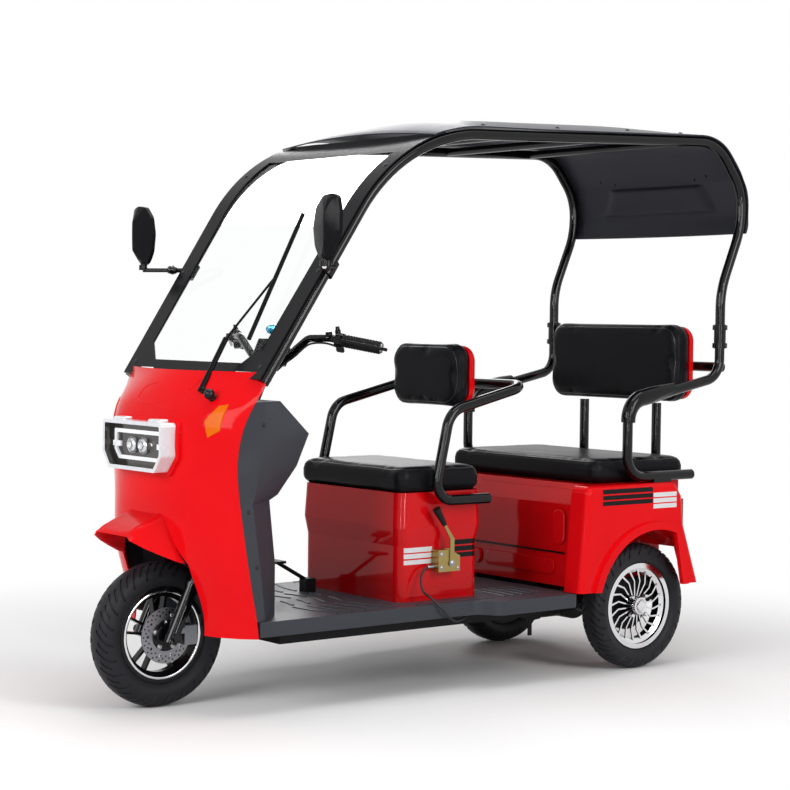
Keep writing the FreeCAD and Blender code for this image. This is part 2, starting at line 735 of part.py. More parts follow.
def front_fairing():
    """Red moulded cowl with both leg shields, open for the wheel, lamp and signals."""
    socket = cowl_band(-SOCKET_PROUD, COWL_WALL * 0.5)
    socket = socket.common(lamp_outline(SOCKET_WIDTH, COWL_FRONT_Y - OVERRUN, COWL_FRONT_Y + COWL_DEPTH))
    skin = cowl_band(0.0, COWL_WALL).fuse(socket)
    skin = skin.cut(arch_cut())
    skin = skin.cut(lamp_outline(SEAT_GAP, COWL_FRONT_Y - OVERRUN, COWL_FRONT_Y + COWL_DEPTH))
    skin = skin.cut(both_sides(signal_prism(SEAT_GAP))).cut(both_sides(pillar_foot(SEAT_GAP)))
    return max(skin.Solids, key=lambda solid: solid.Volume)


def front_signals():
    """Orange lens in each signal opening."""
    skin = cowl_band(-COWL_WALL * 0.5, COWL_WALL)
    lens = skin.common(signal_prism(0.0))
    return both_sides(lens)


# Mudguard sections from the lip back: place along Y as a share of its length, and how far
# each size has gone from its lip value to its foot value.
BROW_ROW_SHARES = ((0.0, 0.0), (0.2, 0.27), (0.45, 0.54), (0.7, 0.79), (1.0, 1.0))


def front_mudguard():
    """Brow over the front wheel: a level top between two ridges and falling sides."""
    outer, inner = [], []
    for place, blend in BROW_ROW_SHARES:
        y = BROW_LIP_Y + place * (BROW_BACK_Y - BROW_LIP_Y)
        foot_x = BROW_LIP_HALF + blend * (BROW_FOOT_HALF - BROW_LIP_HALF)
        foot_z = BROW_LIP_Z + blend * (BROW_FOOT_Z - BROW_LIP_Z)
        top_z = BROW_LIP_TOP_Z + blend * (BROW_TOP_Z - BROW_LIP_TOP_Z)
        side_x, side_z = foot_x - BROW_RIDGE_HALF, foot_z - top_z
        half = [(foot_x, foot_z), (BROW_RIDGE_HALF + 0.42 * side_x, top_z + 0.36 * side_z),
                (BROW_RIDGE_HALF + 0.12 * side_x, top_z + 0.04 * side_z),
                (BROW_RIDGE_HALF - BROW_WALL, top_z + BROW_WALL * 0.6),
                (BROW_RIDGE_HALF - 5 * BROW_WALL, top_z)]
        low = [(foot_x - BROW_WALL * 1.5, foot_z), (BROW_RIDGE_HALF - BROW_WALL * 0.6, top_z - 2 * BROW_WALL)]
        for rows, corners in ((outer, half), (inner, low)):
            points = [at(x, y, z) for x, z in corners] + [at(-x, y, z) for x, z in reversed(corners)]
            rows.append(Part.makePolygon(points + points[:1]))
    brow = Part.makeLoft(outer, True, True).cut(Part.makeLoft(inner, True, True))
    body = cowl_band(-SEAT_GAP, COWL_DEPTH)
    return brow.cut(body)


def headlamp_housing():
    """Silver bezel round a recess, reaching back through the cowl."""
    shell = lamp_outline(0.0, LAMP_FRONT_Y, LAMP_BACK_Y)
    return shell.cut(lamp_outline(-LAMP_RIM, LAMP_FRONT_Y - OVERRUN, LAMP_FRONT_Y + LAMP_RECESS))


def headlamp_ring():
    """Angular daylight ring with a short bar from each side, on the recess floor."""
    back = LAMP_FRONT_Y + LAMP_RECESS - SEAT_GAP
    grow = -LAMP_RIM - RING_INSET
    ring = lamp_outline(grow, back - RING_THICK, back).cut(
        lamp_outline(grow - RING_WIDTH, back - OVERRUN, back + OVERRUN))
    outer_x = LAMP_TOP_HALF + grow
    middle_z = 0.5 * (LAMP_TOP_Z + LAMP_BASE_Z)
    bar = block(outer_x - 3 * RING_WIDTH, outer_x + RING_WIDTH * 0.8, back - RING_THICK, back,
                middle_z - RING_WIDTH * 0.7, middle_z + RING_WIDTH * 0.7)
    return ring.multiFuse([bar, mirrored(bar)]).removeSplitter()


def headlamp_lenses():
    """Two domed lamps side by side on the recess floor."""
    back = LAMP_FRONT_Y + LAMP_RECESS - SEAT_GAP
    middle_z = 0.5 * (LAMP_TOP_Z + LAMP_BASE_Z)
    sphere_r = 1.3 * LENS_R
    collar = rod(at(LENS_HALF_PITCH + SEAT_GAP, back, middle_z),
                 at(LENS_HALF_PITCH + SEAT_GAP, back - LENS_HEIGHT, middle_z), LENS_R - 2 * SEAT_GAP)
    dome_y = back - LENS_HEIGHT * 0.9 + sphere_r
    dome = Part.makeSphere(sphere_r, at(LENS_HALF_PITCH + SEAT_GAP, dome_y, middle_z))
    lens = collar.common(dome)
    lens = lens.cut(block(-LENS_R, SEAT_GAP, back - OVERRUN, back + OVERRUN, LAMP_BASE_Z, LAMP_TOP_Z))
    return both_sides(lens)


# Inner shield rows: height as a share of its rise above the floor, the place of its back
# along Y as a share of SHIELD_BACK_Y, and its half width at the back as a share.
SHIELD_ROW_SHARES = ((0.0, 0.700, 0.66), (0.24, 0.700, 0.66), (0.535, 0.640, 0.66), (0.56, 0.720, 0.66),
                     (0.69, 0.890, 0.68), (0.84, 0.995, 0.70), (1.0, 0.600, 0.86))


def cowl_edge(z):
    """The cowl's half width at a height, and its side edge's place along Y there."""
    share = (z - COWL_BOTTOM_Z) / (COWL_TOP_Z - COWL_BOTTOM_Z)
    low, high = next(pair for pair in zip(COWL_ROW_SHARES, COWL_ROW_SHARES[1:]) if share <= pair[1][0])
    part = (share - low[0]) / (high[0] - low[0])
    half, edge = [low[i] + part * (high[i] - low[i]) for i in (1, 2)]
    return half * COWL_HALF_W, COWL_FRONT_Y + edge * COWL_DEPTH


def shield_block(inset):
    """Solid of the shield's outside, or of its hollow when inset."""
    wires = []
    last = len(SHIELD_ROW_SHARES) - 1
    for index, (z_share, back_share, w_share) in enumerate(SHIELD_ROW_SHARES):
        z = FLOOR_TOP_Z + z_share * (SHIELD_TOP_Z - FLOOR_TOP_Z)
        half, edge_y = cowl_edge(z)
        z += -inset if index == last else (-OVERRUN if inset and index == 0 else 0)
        z += SEAT_GAP if index == 0 else 0
        back_y = back_share * SHIELD_BACK_Y
        side_x, back_x = half - SHIELD_WALL * 0.5, w_share * SHIELD_HALF_W
        front_y = edge_y - OVERRUN * (0.5 if inset else 0.25)
        knee_y = edge_y + 0.3 * (back_y - edge_y)
        knee_x = side_x - 0.12 * (side_x - back_x)
        points = [at(side_x - inset, front_y, z), at(knee_x - inset, knee_y, z),
                  at(back_x - inset, back_y - inset, z)]
        points += [Vector(-p.x, p.y, p.z) for p in reversed(points)]
        wires.append(Part.makePolygon(points + points[:1]))
    return Part.makeLoft(wires, True, True)


def shield_tunnel(inset):
    """Cover of the steering column up the middle of the knee shield, or its hollow when inset."""
    half, back = TUNNEL_HALF_W - inset, TUNNEL_BACK_Y - inset
    top = TUNNEL_TOP_Z - inset
    base = FLOOR_TOP_Z + SEAT_GAP - (OVERRUN if inset else 0)
    return block(-half, half, FRONT_TYRE_R + MOVE_GAP, back, base, top)


def inner_shield():
    """Dark knee shield closing the cowl's back, open towards the wheel and for the stem."""
    shell = shield_block(0.0).fuse(shield_tunnel(0.0)).cut(shield_block(SHIELD_WALL))
    ahead = cowl_band(-COWL_DEPTH, COWL_WALL + SEAT_GAP)
    ahead.translate(Vector(0, SEAT_GAP, 0))
    shell = shell.cut(shield_tunnel(SHIELD_WALL)).cut(ahead)
    stem = rod(on_steering_axis(HEAD_TUBE_AT + HEAD_TUBE_LENGTH), on_steering_axis(STEM_TOP_AT),
               STEM_R + 4 * MOVE_GAP)
    return shell.cut(stem).cut(front_hoop(SEAT_GAP)).removeSplitter()


# Windscreen and roof

def tube_side_points():
    """Roof tube's corners in side view, from the pillar's foot over the roof to the coupling."""
    flap = ROOF_REAR_Z - 2 * ROOF_REAR_BEND_R
    return [
        (PILLAR_FOOT_Y, PILLAR_FOOT_Z),
        (ROOF_FRONT_Y, ROOF_FRONT_Z),
        (ROOF_REAR_Y - ROOF_REAR_BEND_R * 0.80, ROOF_REAR_Z),
        (ROOF_REAR_Y, ROOF_REAR_Z - ROOF_REAR_BEND_R),
        (ROOF_REAR_Y, flap + ROOF_REAR_BEND_R * 0.16),
        (COUPLING_Y, COUPLING_Z + ROOF_REAR_BEND_R),
        (COUPLING_Y, COUPLING_Z),
    ]


ROOF_BENDS = [0, ROOF_FRONT_BEND_R, ROOF_REAR_BEND_R, ROOF_REAR_BEND_R * 1.1, ROOF_SWAN_BEND_R,
              ROOF_SWAN_BEND_R, 0]


def roof_x(y):
    """Tube's distance from the middle at a place along Y; the frame widens rearward."""
    share = (y - PILLAR_FOOT_Y) / (COUPLING_Y - PILLAR_FOOT_Y)
    return PILLAR_FOOT_X + (ROOF_REAR_X - PILLAR_FOOT_X) * min(share, 1.0)


ROOF_BAR_SHARES = (0.28, 0.56, 0.84)


def roof_frame():
    """Two bent roof tubes joined by cross bars under the panel."""
    points = [at(roof_x(y), y, z) for y, z in tube_side_points()]
    side = tube(points, ROOF_BENDS, TUBE_R)
    bars = []
    for share in ROOF_BAR_SHARES:
        y = ROOF_FRONT_Y + share * (ROOF_REAR_Y - ROOF_FRONT_Y)
        slope = (ROOF_REAR_Z - ROOF_FRONT_Z) / (ROOF_REAR_Y - ROOF_REAR_BEND_R * 0.80 - ROOF_FRONT_Y)
        z = ROOF_FRONT_Z + slope * (y - ROOF_FRONT_Y)
        bars.append(rod(at(-roof_x(y), y, z), at(roof_x(y), y, z), TUBE_R * 0.8))
    return side.multiFuse([mirrored(side)] + bars).removeSplitter()


def roof_line():
    """Runs and bends of the roof tube's side line, in the middle plane."""
    return rounded_edges([at(0, y, z) for y, z in tube_side_points()], ROOF_BENDS, False)


def station(edges, distance):
    """Point at a distance along the edges, with the outward normal there."""
    for edge in edges[:-1]:
        if distance <= edge.Length:
            break
        distance -= edge.Length
    value = edge.getParameterByLength(distance)
    tangent = edge.tangentAt(value)
    return edge.valueAt(value), Vector(0, -tangent.z, tangent.y)


# Places along the side line, each a share of the bend it lies in.
SCREEN_END_SHARE = 0.74
PANEL_START_SHARE = 0.66
PANEL_END_SHARE = 0.62


def screen_band(ahead, thick, half_w, z_low):
    """Curved plate ahead of the pillars, cut off level at z_low, ending under the roof panel."""
    edges = roof_line()
    pillar, bend = edges[0].Length, edges[1].Length
    rows = [station(edges, distance) for distance in
            (0, pillar, pillar + 0.5 * SCREEN_END_SHARE * bend, pillar + SCREEN_END_SHARE * bend)]
    low = [point + normal * ahead for point, normal in rows]
    high = [point + normal * (ahead + thick) for point, normal in rows]
    sides = [Part.makeLine(low[0], low[1]), Part.Arc(low[1], low[2], low[3]).toShape(),
             Part.makeLine(low[3], high[3]), Part.Arc(high[3], high[2], high[1]).toShape(),
             Part.makeLine(high[1], high[0]), Part.makeLine(high[0], low[0])]
    face = Part.Face(Part.Wire(sides))
    face.translate(Vector(-half_w, 0, 0))
    band = face.extrude(Vector(2 * half_w, 0, 0))
    return band.cut(block(-2 * half_w, 2 * half_w, -SHIELD_BACK_Y, SHIELD_BACK_Y, 0, z_low))


def window_prism(grow):
    """The windscreen's clear opening seen from the front, as a prism."""
    half = PILLAR_FOOT_X - SCREEN_STRIP * 0.9 + grow
    top_half = SCREEN_HALF_W - SCREEN_STRIP + grow
    top_z = ROOF_FRONT_Z - SCREEN_STRIP * 0.8 + grow
    sill = SCREEN_SILL_Z - grow
    points = [(half - SCREEN_CORNER, sill), (half, sill + SCREEN_CORNER * 0.8), (top_half, top_z)]
    points += [(-x, z) for x, z in reversed(points)]
    return front_plate(points, -OVERRUN, ROOF_FRONT_Y + 4 * OVERRUN)


def windscreen_frame():
    """Black surround bent with the pillars, wide at its lower corners."""
    band = screen_band(SCREEN_AHEAD, SCREEN_WALL, SCREEN_HALF_W, SCREEN_FOOT_Z)
    foot_half = PILLAR_FOOT_X + TUBE_R * 0.5
    lean = [(foot_half, SCREEN_FOOT_Z - OVERRUN), (SCREEN_HALF_W + OVERRUN, SCREEN_FOOT_Z - OVERRUN),
            (SCREEN_HALF_W + OVERRUN, ROOF_FRONT_Z + OVERRUN), (SCREEN_HALF_W, ROOF_FRONT_Z + OVERRUN)]
    trim = front_plate(lean, -2 * OVERRUN, ROOF_FRONT_Y + 8 * OVERRUN)
    band = band.cut(trim).cut(mirrored(trim)).cut(window_prism(0.0))
    return band.cut(cowl_band(-SEAT_GAP, COWL_DEPTH * 0.2)).removeSplitter()


def windscreen_glass():
    """Clear sheet lapping behind the surround's opening."""
    ahead = SCREEN_AHEAD - SEAT_GAP - GLASS_WALL
    band = screen_band(ahead, GLASS_WALL, SCREEN_HALF_W, SCREEN_FOOT_Z)
    return band.common(window_prism(GLASS_LAP))


def panel_section(start, normal, lift, crown):
    """Crowned strip across the roof at one place on the tubes' side line."""
    reach = Vector(roof_x(start.y - AXLE_Y) + TUBE_R, 0, 0)
    arcs = []
    for rise in (lift, lift + PANEL_WALL):
        left, right = start + reach + normal * rise, start - reach + normal * rise
        arcs.append((Part.Arc(right, start + normal * (rise + crown), left).toShape(), right, left))
    (low, low_right, low_left), (high, high_right, high_left) = arcs
    return Part.Wire([low, Part.makeLine(low_left, high_left), high, Part.makeLine(high_right, low_right)])


def roof_panel():
    """Thin crowned panel that settles from the windscreen's surround onto the tubes and
    curves down at the rear as a flap."""
    edges = roof_line()
    first = edges[0].Length + PANEL_START_SHARE * edges[1].Length
    last = sum(edge.Length for edge in edges[:7]) + PANEL_END_SHARE * edges[7].Length
    high_lift = SCREEN_AHEAD + SCREEN_WALL + SEAT_GAP
    low_lift = TUBE_R + SEAT_GAP
    wires = []
    for index in range(PANEL_STATIONS):
        share = index / (PANEL_STATIONS - 1)
        start, normal = station(edges, first + share * (last - first))
        settled = 0.5 - 0.5 * math.cos(math.pi * min(share / 0.35, 1.0))
        rising = math.sin(0.5 * math.pi * min(0.2 + share / 0.35, 1.0))
        falling = 0.5 + 0.5 * math.cos(math.pi * min(max(share - 0.55, 0.0) / 0.32, 1.0))
        crown = PANEL_FLAP_CROWN + (PANEL_CROWN - PANEL_FLAP_CROWN) * rising * falling
        wires.append(panel_section(start, normal, high_lift + settled * (low_lift - high_lift), crown))
    return Part.makeLoft(wires, True, False)


def wiper():
    """Wiper arm and blade on the left, with a spindle boss that seats on the cowl."""
    pivot = at(WIPER_X, WIPER_Y, WIPER_Z)
    knee = at(WIPER_KNEE_X, WIPER_KNEE_Y, WIPER_KNEE_Z)
    low, high = at(BLADE_LOW_X, BLADE_LOW_Y, BLADE_LOW_Z), at(BLADE_TOP_X, BLADE_TOP_Y, BLADE_TOP_Z)
    boss = rod(pivot, pivot + Vector(0, OVERRUN, 0), TUBE_R * 0.8)
    arm = [rod(pivot, knee, TUBE_R * 0.5), rod(knee, 0.5 * (low + high), TUBE_R * 0.22)]
    blade = rod(low, high, TUBE_R * 0.4)
    ball = Part.makeSphere(TUBE_R * 0.5, knee)
    whole = boss.multiFuse(arm + [ball, blade]).removeSplitter()
    return whole.cut(cowl_band(-SEAT_GAP, COWL_DEPTH))


# Mirror head's outline as shares of its half width and height, from its foot.
MIRROR_SHARES = ((-0.55, 0.0), (0.35, 0.0), (0.85, 0.28), (1.0, 0.82), (0.45, 1.0), (-0.35, 1.0),
                 (-1.0, 0.62))


def mirror_heads():
    """Two rear-view mirror heads facing rearward."""
    height = MIRROR_TOP_Z - MIRROR_LOW_Z
    points = [(MIRROR_X + u * MIRROR_HALF_W, MIRROR_LOW_Z + v * height) for u, v in MIRROR_SHARES]
    half = MIRROR_DEPTH * 0.5
    head = front_plate(points, MIRROR_Y - half, MIRROR_Y + half, MIRROR_DEPTH * 0.4)
    return both_sides(head)


def mirror_arms():
    """Stalk, ball joint and pillar clamp of each mirror, below its head."""
    ball_at = at(MIRROR_X - MIRROR_HALF_W * 0.1, MIRROR_Y, MIRROR_LOW_Z - TUBE_R - SEAT_GAP)
    clamp_z = MIRROR_LOW_Z - TUBE_R
    clamp_y = PILLAR_FOOT_Y + (clamp_z - PILLAR_FOOT_Z) / PILLAR_SLOPE
    clamp_x = roof_x(clamp_y)
    tube_at = at(clamp_x, clamp_y, clamp_z)
    along = Vector(0, 1, PILLAR_SLOPE).normalize()
    core = rod(tube_at - along * TUBE_R * 4, tube_at + along * TUBE_R * 4, TUBE_R + SEAT_GAP)
    strip = screen_band(SCREEN_AHEAD - 3 * SEAT_GAP, OVERRUN, PILLAR_FOOT_X + TUBE_R * 1.2, SCREEN_FOOT_Z)
    collar = rod(tube_at - along * TUBE_R * 1.4, tube_at + along * TUBE_R * 1.4, TUBE_R * 1.5)
    collar = collar.cut(core).cut(strip)
    out = at(clamp_x + TUBE_R * 2.4, clamp_y - TUBE_R * 2, clamp_z)
    stalk = [rod(tube_at + Vector(TUBE_R * 1.5, 0, 0), out, TUBE_R * 0.45), rod(out, ball_at, TUBE_R * 0.4)]
    joints = [Part.makeSphere(TUBE_R * 0.7, out), rod(ball_at, ball_at + Vector(0, 0, TUBE_R), TUBE_R * 0.8)]
    return both_sides(collar.multiFuse(stalk + joints).removeSplitter())


# Chassis and floor

def front_hoop(grow):
    """Bent tube behind the cowl from one roof tube's foot past the head tube to the other's."""
    foot = at(roof_x(PILLAR_FOOT_Y), PILLAR_FOOT_Y + TUBE_R, PILLAR_FOOT_Z + TUBE_R)
    knee = at(0.42 * PILLAR_FOOT_X, PILLAR_FOOT_Y + TUBE_R, 0.5 * (COWL_TOP_Z + LAMP_TOP_Z) - TUBE_R)
    low = on_steering_axis(HEAD_TUBE_AT + HEAD_TUBE_LENGTH * 0.7, HEAD_TUBE_R * 0.9)
    low = low - Vector(0, HEAD_TUBE_R * 0.8, 0)
    half = tube([foot, knee, low], [0, 5 * TUBE_R, 0], TUBE_R * 0.85 + grow)
    return half.fuse(mirrored(half))


def under_stay():
    """Stay hanging under the left rail ahead of the rear wheel."""
    y = RAIL_KICK_Y - 3 * RAIL_W
    top = FLOOR_BASE_Z - RAIL_H
    return side_plate([(y - RAIL_W * 0.5, top + RAIL_W * 0.5), (y + RAIL_W * 1.2, top + RAIL_W * 0.5),
                       (y + RAIL_W * 1.2, top - RAIL_H * 0.3), (y, top - RAIL_H * 0.4),
                       (y, top - RAIL_H * 1.5), (y - RAIL_W * 0.5, top - RAIL_H * 1.5)],
                      RAIL_X, RAIL_X + PLATE_WALL)


def main_frame():
    """Steel frame: two side rails that kick up over the axle, cross members and the head tube."""
    low, high = FLOOR_BASE_Z - RAIL_H, FLOOR_BASE_Z
    rise = RAIL_KICK_RISE
    profile = [(RAIL_FRONT_Y, low), (RAIL_KICK_Y, low), (RAIL_KICK_Y + rise, low + rise),
               (RAIL_REAR_Y, low + rise), (RAIL_REAR_Y, high + rise),
               (RAIL_KICK_Y + rise - RAIL_H * 0.4, high + rise),
               (RAIL_KICK_Y - RAIL_H * 0.4, high), (RAIL_FRONT_Y, high)]
    rail = side_plate(profile, RAIL_X - RAIL_W * 0.5, RAIL_X + RAIL_W * 0.5)
    pieces = [rail, mirrored(rail)]
    for y, lift in ((RAIL_FRONT_Y, 0.0), (BOX_FRONT_Y, 0.0), (BOX_REAR_Y, 0.0),
                    (RAIL_KICK_Y - 2 * RAIL_W, 0.0), (RAIL_REAR_Y - RAIL_W, rise)):
        pieces.append(block(-RAIL_X, RAIL_X, y, y + RAIL_W, low + lift, high + lift))
    spine_y = RAIL_FRONT_Y
    down = tube([at(0, spine_y, high - RAIL_H * 0.5), at(0, spine_y, high + 3 * RAIL_H),
                 on_steering_axis(HEAD_TUBE_AT + HEAD_TUBE_LENGTH * 0.4)], [0, 2 * RAIL_H, 0], FRAME_TUBE_R)
    head = rod(on_steering_axis(HEAD_TUBE_AT), on_steering_axis(HEAD_TUBE_AT + HEAD_TUBE_LENGTH), HEAD_TUBE_R)
    bore = rod(on_steering_axis(CROWN_AT), on_steering_axis(STEM_TOP_AT), STEM_R + PIN_GAP)
    middle_z = low + rise + 0.5 * RAIL_H
    bolts = []
    for side, level in ((-1, -1), (-1, 1), (1, -1), (1, 1)):
        x, z = 0.5 * side * CARRIER_BOLT_X, middle_z + 0.5 * level * CARRIER_BOLT_Z
        bolts.append(rod(at(x, RAIL_REAR_Y - 2 * RAIL_W, z), at(x, RAIL_REAR_Y + RAIL_W, z), CARRIER_BOLT_R))
    frame = pieces[0].multiFuse(pieces[1:] + [down, head, front_hoop(0.0), under_stay()])
    frame = frame.cut(Part.makeCompound(bolts))
    return frame.cut(bore).cut(both_sides(pillar_foot(SEAT_GAP))).removeSplitter()


def footboard():
    """Moulded floor with a hollow underside, wider behind the driver."""
    half, wide = FLOOR_HALF_W, FLOOR_WIDE_HALF_W
    left = [(half, FLOOR_FRONT_Y), (half, FLOOR_STEP_Y - OVERRUN), (wide, FLOOR_STEP_Y), (wide, FLOOR_REAR_Y)]
    points = left + [(-x, y) for x, y in reversed(left)]
    radii = [0, FLOOR_CORNER_R, FLOOR_CORNER_R, FLOOR_CORNER_R * 0.6]
    radii += list(reversed(radii))
    base = FLOOR_BASE_Z
    slab = plan_plate(points, base, FLOOR_TOP_Z, radii)
    roof_z = FLOOR_TOP_Z - FLOOR_SKIN
    rib = FLOOR_SKIN * 2
    pockets = []
    for x0, x1, front, rear in ((RAIL_X + RAIL_W, half - rib, RAIL_FRONT_Y, FLOOR_STEP_Y - 2 * OVERRUN),
                                (RAIL_X + RAIL_W, wide - rib, FLOOR_STEP_Y + rib, FLOOR_REAR_Y - OVERRUN)):
        pocket = block(x0, x1, front, rear, base - OVERRUN, roof_z)
        pockets += [pocket, mirrored(pocket)]
    for front, rear in ((RAIL_FRONT_Y + 2 * RAIL_W, BOX_FRONT_Y - RAIL_W),
                        (BOX_FRONT_Y + 2 * RAIL_W, BOX_REAR_Y - RAIL_W),
                        (BOX_REAR_Y + 2 * RAIL_W, RAIL_KICK_Y - 3 * RAIL_W)):
        pockets.append(block(RAIL_W - RAIL_X, RAIL_X - RAIL_W, front, rear, base - OVERRUN, roof_z))
    slab = slab.cut(Part.makeCompound(pockets))
    room_r = FRONT_TYRE_R + 4 * MOVE_GAP
    wheel = rod(at(-ARCH_FOOT_X, 0, FRONT_TYRE_R), at(ARCH_FOOT_X, 0, FRONT_TYRE_R), room_r)
    column = block(-2 * FRAME_TUBE_R, 2 * FRAME_TUBE_R, 0, RAIL_FRONT_Y + FRAME_TUBE_R, base - OVERRUN,
                   FLOOR_TOP_Z + OVERRUN)
    return slab.cut(wheel).cut(column)


def box_wire(z, half_w, front, rear, radius):
    """Level rounded rectangle of the driver's box."""
    points = [at(x, y, z) for x, y in rectangle(-half_w, half_w, front, rear)]
    return Part.Wire(rounded_edges(points, radius, True))


def driver_box():
    """Open-topped seat box whose upper part stands proud over a bevel."""
    rows = ((FLOOR_TOP_Z, 0.0), (BOX_SHELF_Z, 0.0), (BOX_CREASE_Z, BOX_PROUD),
            (BOX_TOP_Z, BOX_PROUD * (1 - BOX_FALL_SHARE)))

    def stack(inset, base, top):
        wires = []
        for z, proud in rows:
            level = min(max(z, base), top)
            grow = proud - inset
            wires.append(box_wire(level, BOX_HALF_W - BOX_PROUD + grow, BOX_FRONT_Y - grow, BOX_REAR_Y + grow,
                                  BOX_CORNER_R - inset))
        return Part.makeLoft(wires, True, True)

    inside = stack(BOX_WALL, FLOOR_TOP_Z + BOX_WALL, BOX_TOP_Z + OVERRUN)
    return stack(0.0, FLOOR_TOP_Z, BOX_TOP_Z).cut(inside)


def front_cushion():
    """Driver's seat cushion, which is the box's lid."""
    half = BOX_HALF_W + CUSHION_OVER
    base = BOX_TOP_Z + SEAT_GAP
    points = rectangle(-half, half, BOX_FRONT_Y - CUSHION_AHEAD, BOX_REAR_Y)
    pad = plan_plate(points, base, base + CUSHION_THICK, BOX_CORNER_R)
    rim = [edge for edge in pad.Edges if edge.BoundBox.ZMin > base + CUSHION_THICK * 0.9]
    return pad.makeFillet(CUSHION_ROUND, rim)


def battery():
    """Battery pack inside the driver's box, one plain block."""
    inset = BOX_WALL + BOX_PROUD * 2
    return block(inset - BOX_HALF_W, BOX_HALF_W - inset, BOX_FRONT_Y + inset, BOX_REAR_Y - inset,
                 FLOOR_TOP_Z + BOX_WALL, BOX_SHELF_Z - BOX_WALL)


def front_arm_loop():
    """Single tube that makes both armrests and passes behind the driver's backrest."""
    left = [
        (ARM_X, ARM_OPEN_Y, ARM_LOW_Z), (ARM_X, ARM_UP_Y, ARM_LOW_Z),
        (ARM_X, ARM_SHOULDER_Y, ARM_SHOULDER_Z), (ARM_X, ARM_LOOP_Y, ARM_LOOP_Z),
    ]
    right = [(-x, y, z) for x, y, z in reversed(left)]
    points = [at(*p) for p in left + right]
    bends = [0, ARM_FOOT_BEND_R, ARM_SHOULDER_BEND_R, ARM_BACK_BEND_R]
    loop = tube(points, bends + bends[::-1], ARM_R)
    rise = (ARM_LOW_Z - PLATE_WALL - BOX_CREASE_Z) / (BOX_TOP_Z - BOX_CREASE_Z)
    side = BOX_HALF_W - BOX_PROUD * BOX_FALL_SHARE * rise + SEAT_GAP
    foot = block(side, ARM_X, BOX_FRONT_Y + 0.6 * (BOX_REAR_Y - BOX_FRONT_Y), BOX_REAR_Y - BOX_CORNER_R,
                 ARM_LOW_Z - PLATE_WALL, ARM_LOW_Z)
    cover_back = BACK_FRONT_Y + BACK_PAD_THICK + SEAT_GAP + BACK_COVER_THICK
    tongue = block(0.4 * BACK_HALF_W, 0.65 * BACK_HALF_W, cover_back + SEAT_GAP, ARM_LOOP_Y,
                   ARM_LOOP_Z - PLATE_WALL, ARM_LOOP_Z + PLATE_WALL)
    return loop.multiFuse([foot, mirrored(foot), tongue, mirrored(tongue)]).removeSplitter()


def cushion_block(half_w, y0, y1, z0, z1, corner, edge):
    """Upright pad with rounded corners and a rounded front edge."""
    pad = front_plate(rectangle(-half_w, half_w, z0, z1), y0, y1, corner)
    return pad.makeFillet(edge, [e for e in pad.Edges if e.BoundBox.YMax < y0 + AXLE_Y + PLATE_WALL])


def back_corner(low, top):
    """Corner radius of a backrest, at most three tenths of its height."""
    return min(BACK_CORNER_R, 0.3 * (top - low))


def back_pad(half_w, front, low, top, thick):
    """Padded front of a backrest."""
    return cushion_block(half_w, front, front + thick, low, top, back_corner(low, top), thick * 0.4)


def back_cover(half_w, front, low, top, thick, depth):
    """Glossy moulded back behind a pad."""
    start = front + thick + SEAT_GAP
    inset = BACK_COVER_INSET
    corners = rectangle(inset - half_w, half_w - inset, low + inset, top - inset)
    shell = front_plate(corners, start, start + depth, back_corner(low, top) - inset)
    return shell.makeFillet(depth * 0.7, [e for e in shell.Edges
                                          if e.BoundBox.YMin > start + depth + AXLE_Y - PLATE_WALL])


def parking_brake():
    """Folded bracket on the box's left side, with a quadrant, lever and grip."""
    side = BOX_HALF_W - BOX_PROUD + SEAT_GAP
    plate = block(side, side + PLATE_WALL, BRAKE_BOX_Y - BRAKE_BOX_HALF_Y, BRAKE_BOX_Y + BRAKE_BOX_HALF_Y,
                  BRAKE_BOX_Z - BRAKE_BOX_HALF_Z, BRAKE_BOX_Z + BRAKE_BOX_HALF_Z)
    cheeks = side_plate([(BRAKE_BOX_Y - BRAKE_BOX_HALF_Y, BRAKE_BOX_Z - BRAKE_BOX_HALF_Z),
                         (BRAKE_BOX_Y + BRAKE_BOX_HALF_Y, BRAKE_BOX_Z - BRAKE_BOX_HALF_Z),
                         (BRAKE_BOX_Y + BRAKE_BOX_HALF_Y, BRAKE_BOX_Z + BRAKE_BOX_HALF_Z * 0.4),
                         (BRAKE_BOX_Y, BRAKE_BOX_Z + BRAKE_BOX_HALF_Z),
                         (BRAKE_BOX_Y - BRAKE_BOX_HALF_Y, BRAKE_BOX_Z + BRAKE_BOX_HALF_Z)],
                        side + PLATE_WALL, side + BRAKE_BOX_OUT)
    lever_x = side + BRAKE_BOX_OUT
    half = LEVER_BAR_W * 0.5
    elbow = (BRAKE_BOX_Y + half, BRAKE_BOX_Z + BRAKE_BOX_HALF_Z * 2)
    top = (BRAKE_BOX_Y - BRAKE_BOX_HALF_Y * 1.2, BRAKE_BOX_Z + BRAKE_BOX_HALF_Z * 4.6)
    lever = side_plate([(BRAKE_BOX_Y, BRAKE_BOX_Z - BRAKE_BOX_HALF_Z * 0.5),
                        (BRAKE_BOX_Y + 2 * half, BRAKE_BOX_Z - BRAKE_BOX_HALF_Z * 0.5),
                        (elbow[0] + half, elbow[1]), (top[0] + half, top[1]), (top[0] - half, top[1]),
                        (elbow[0] - half, elbow[1])], lever_x, lever_x + PLATE_WALL)
    run = at(lever_x, *top) - at(lever_x, *elbow)
    middle = Vector(0.5 * PLATE_WALL, 0, 0)
    grip_at = at(lever_x, *elbow) + middle
    grip = rod(grip_at + run * 0.5, grip_at + run * 1.08, LEVER_GRIP_R)
    return plate.multiFuse([cheeks, lever, grip]).removeSplitter()


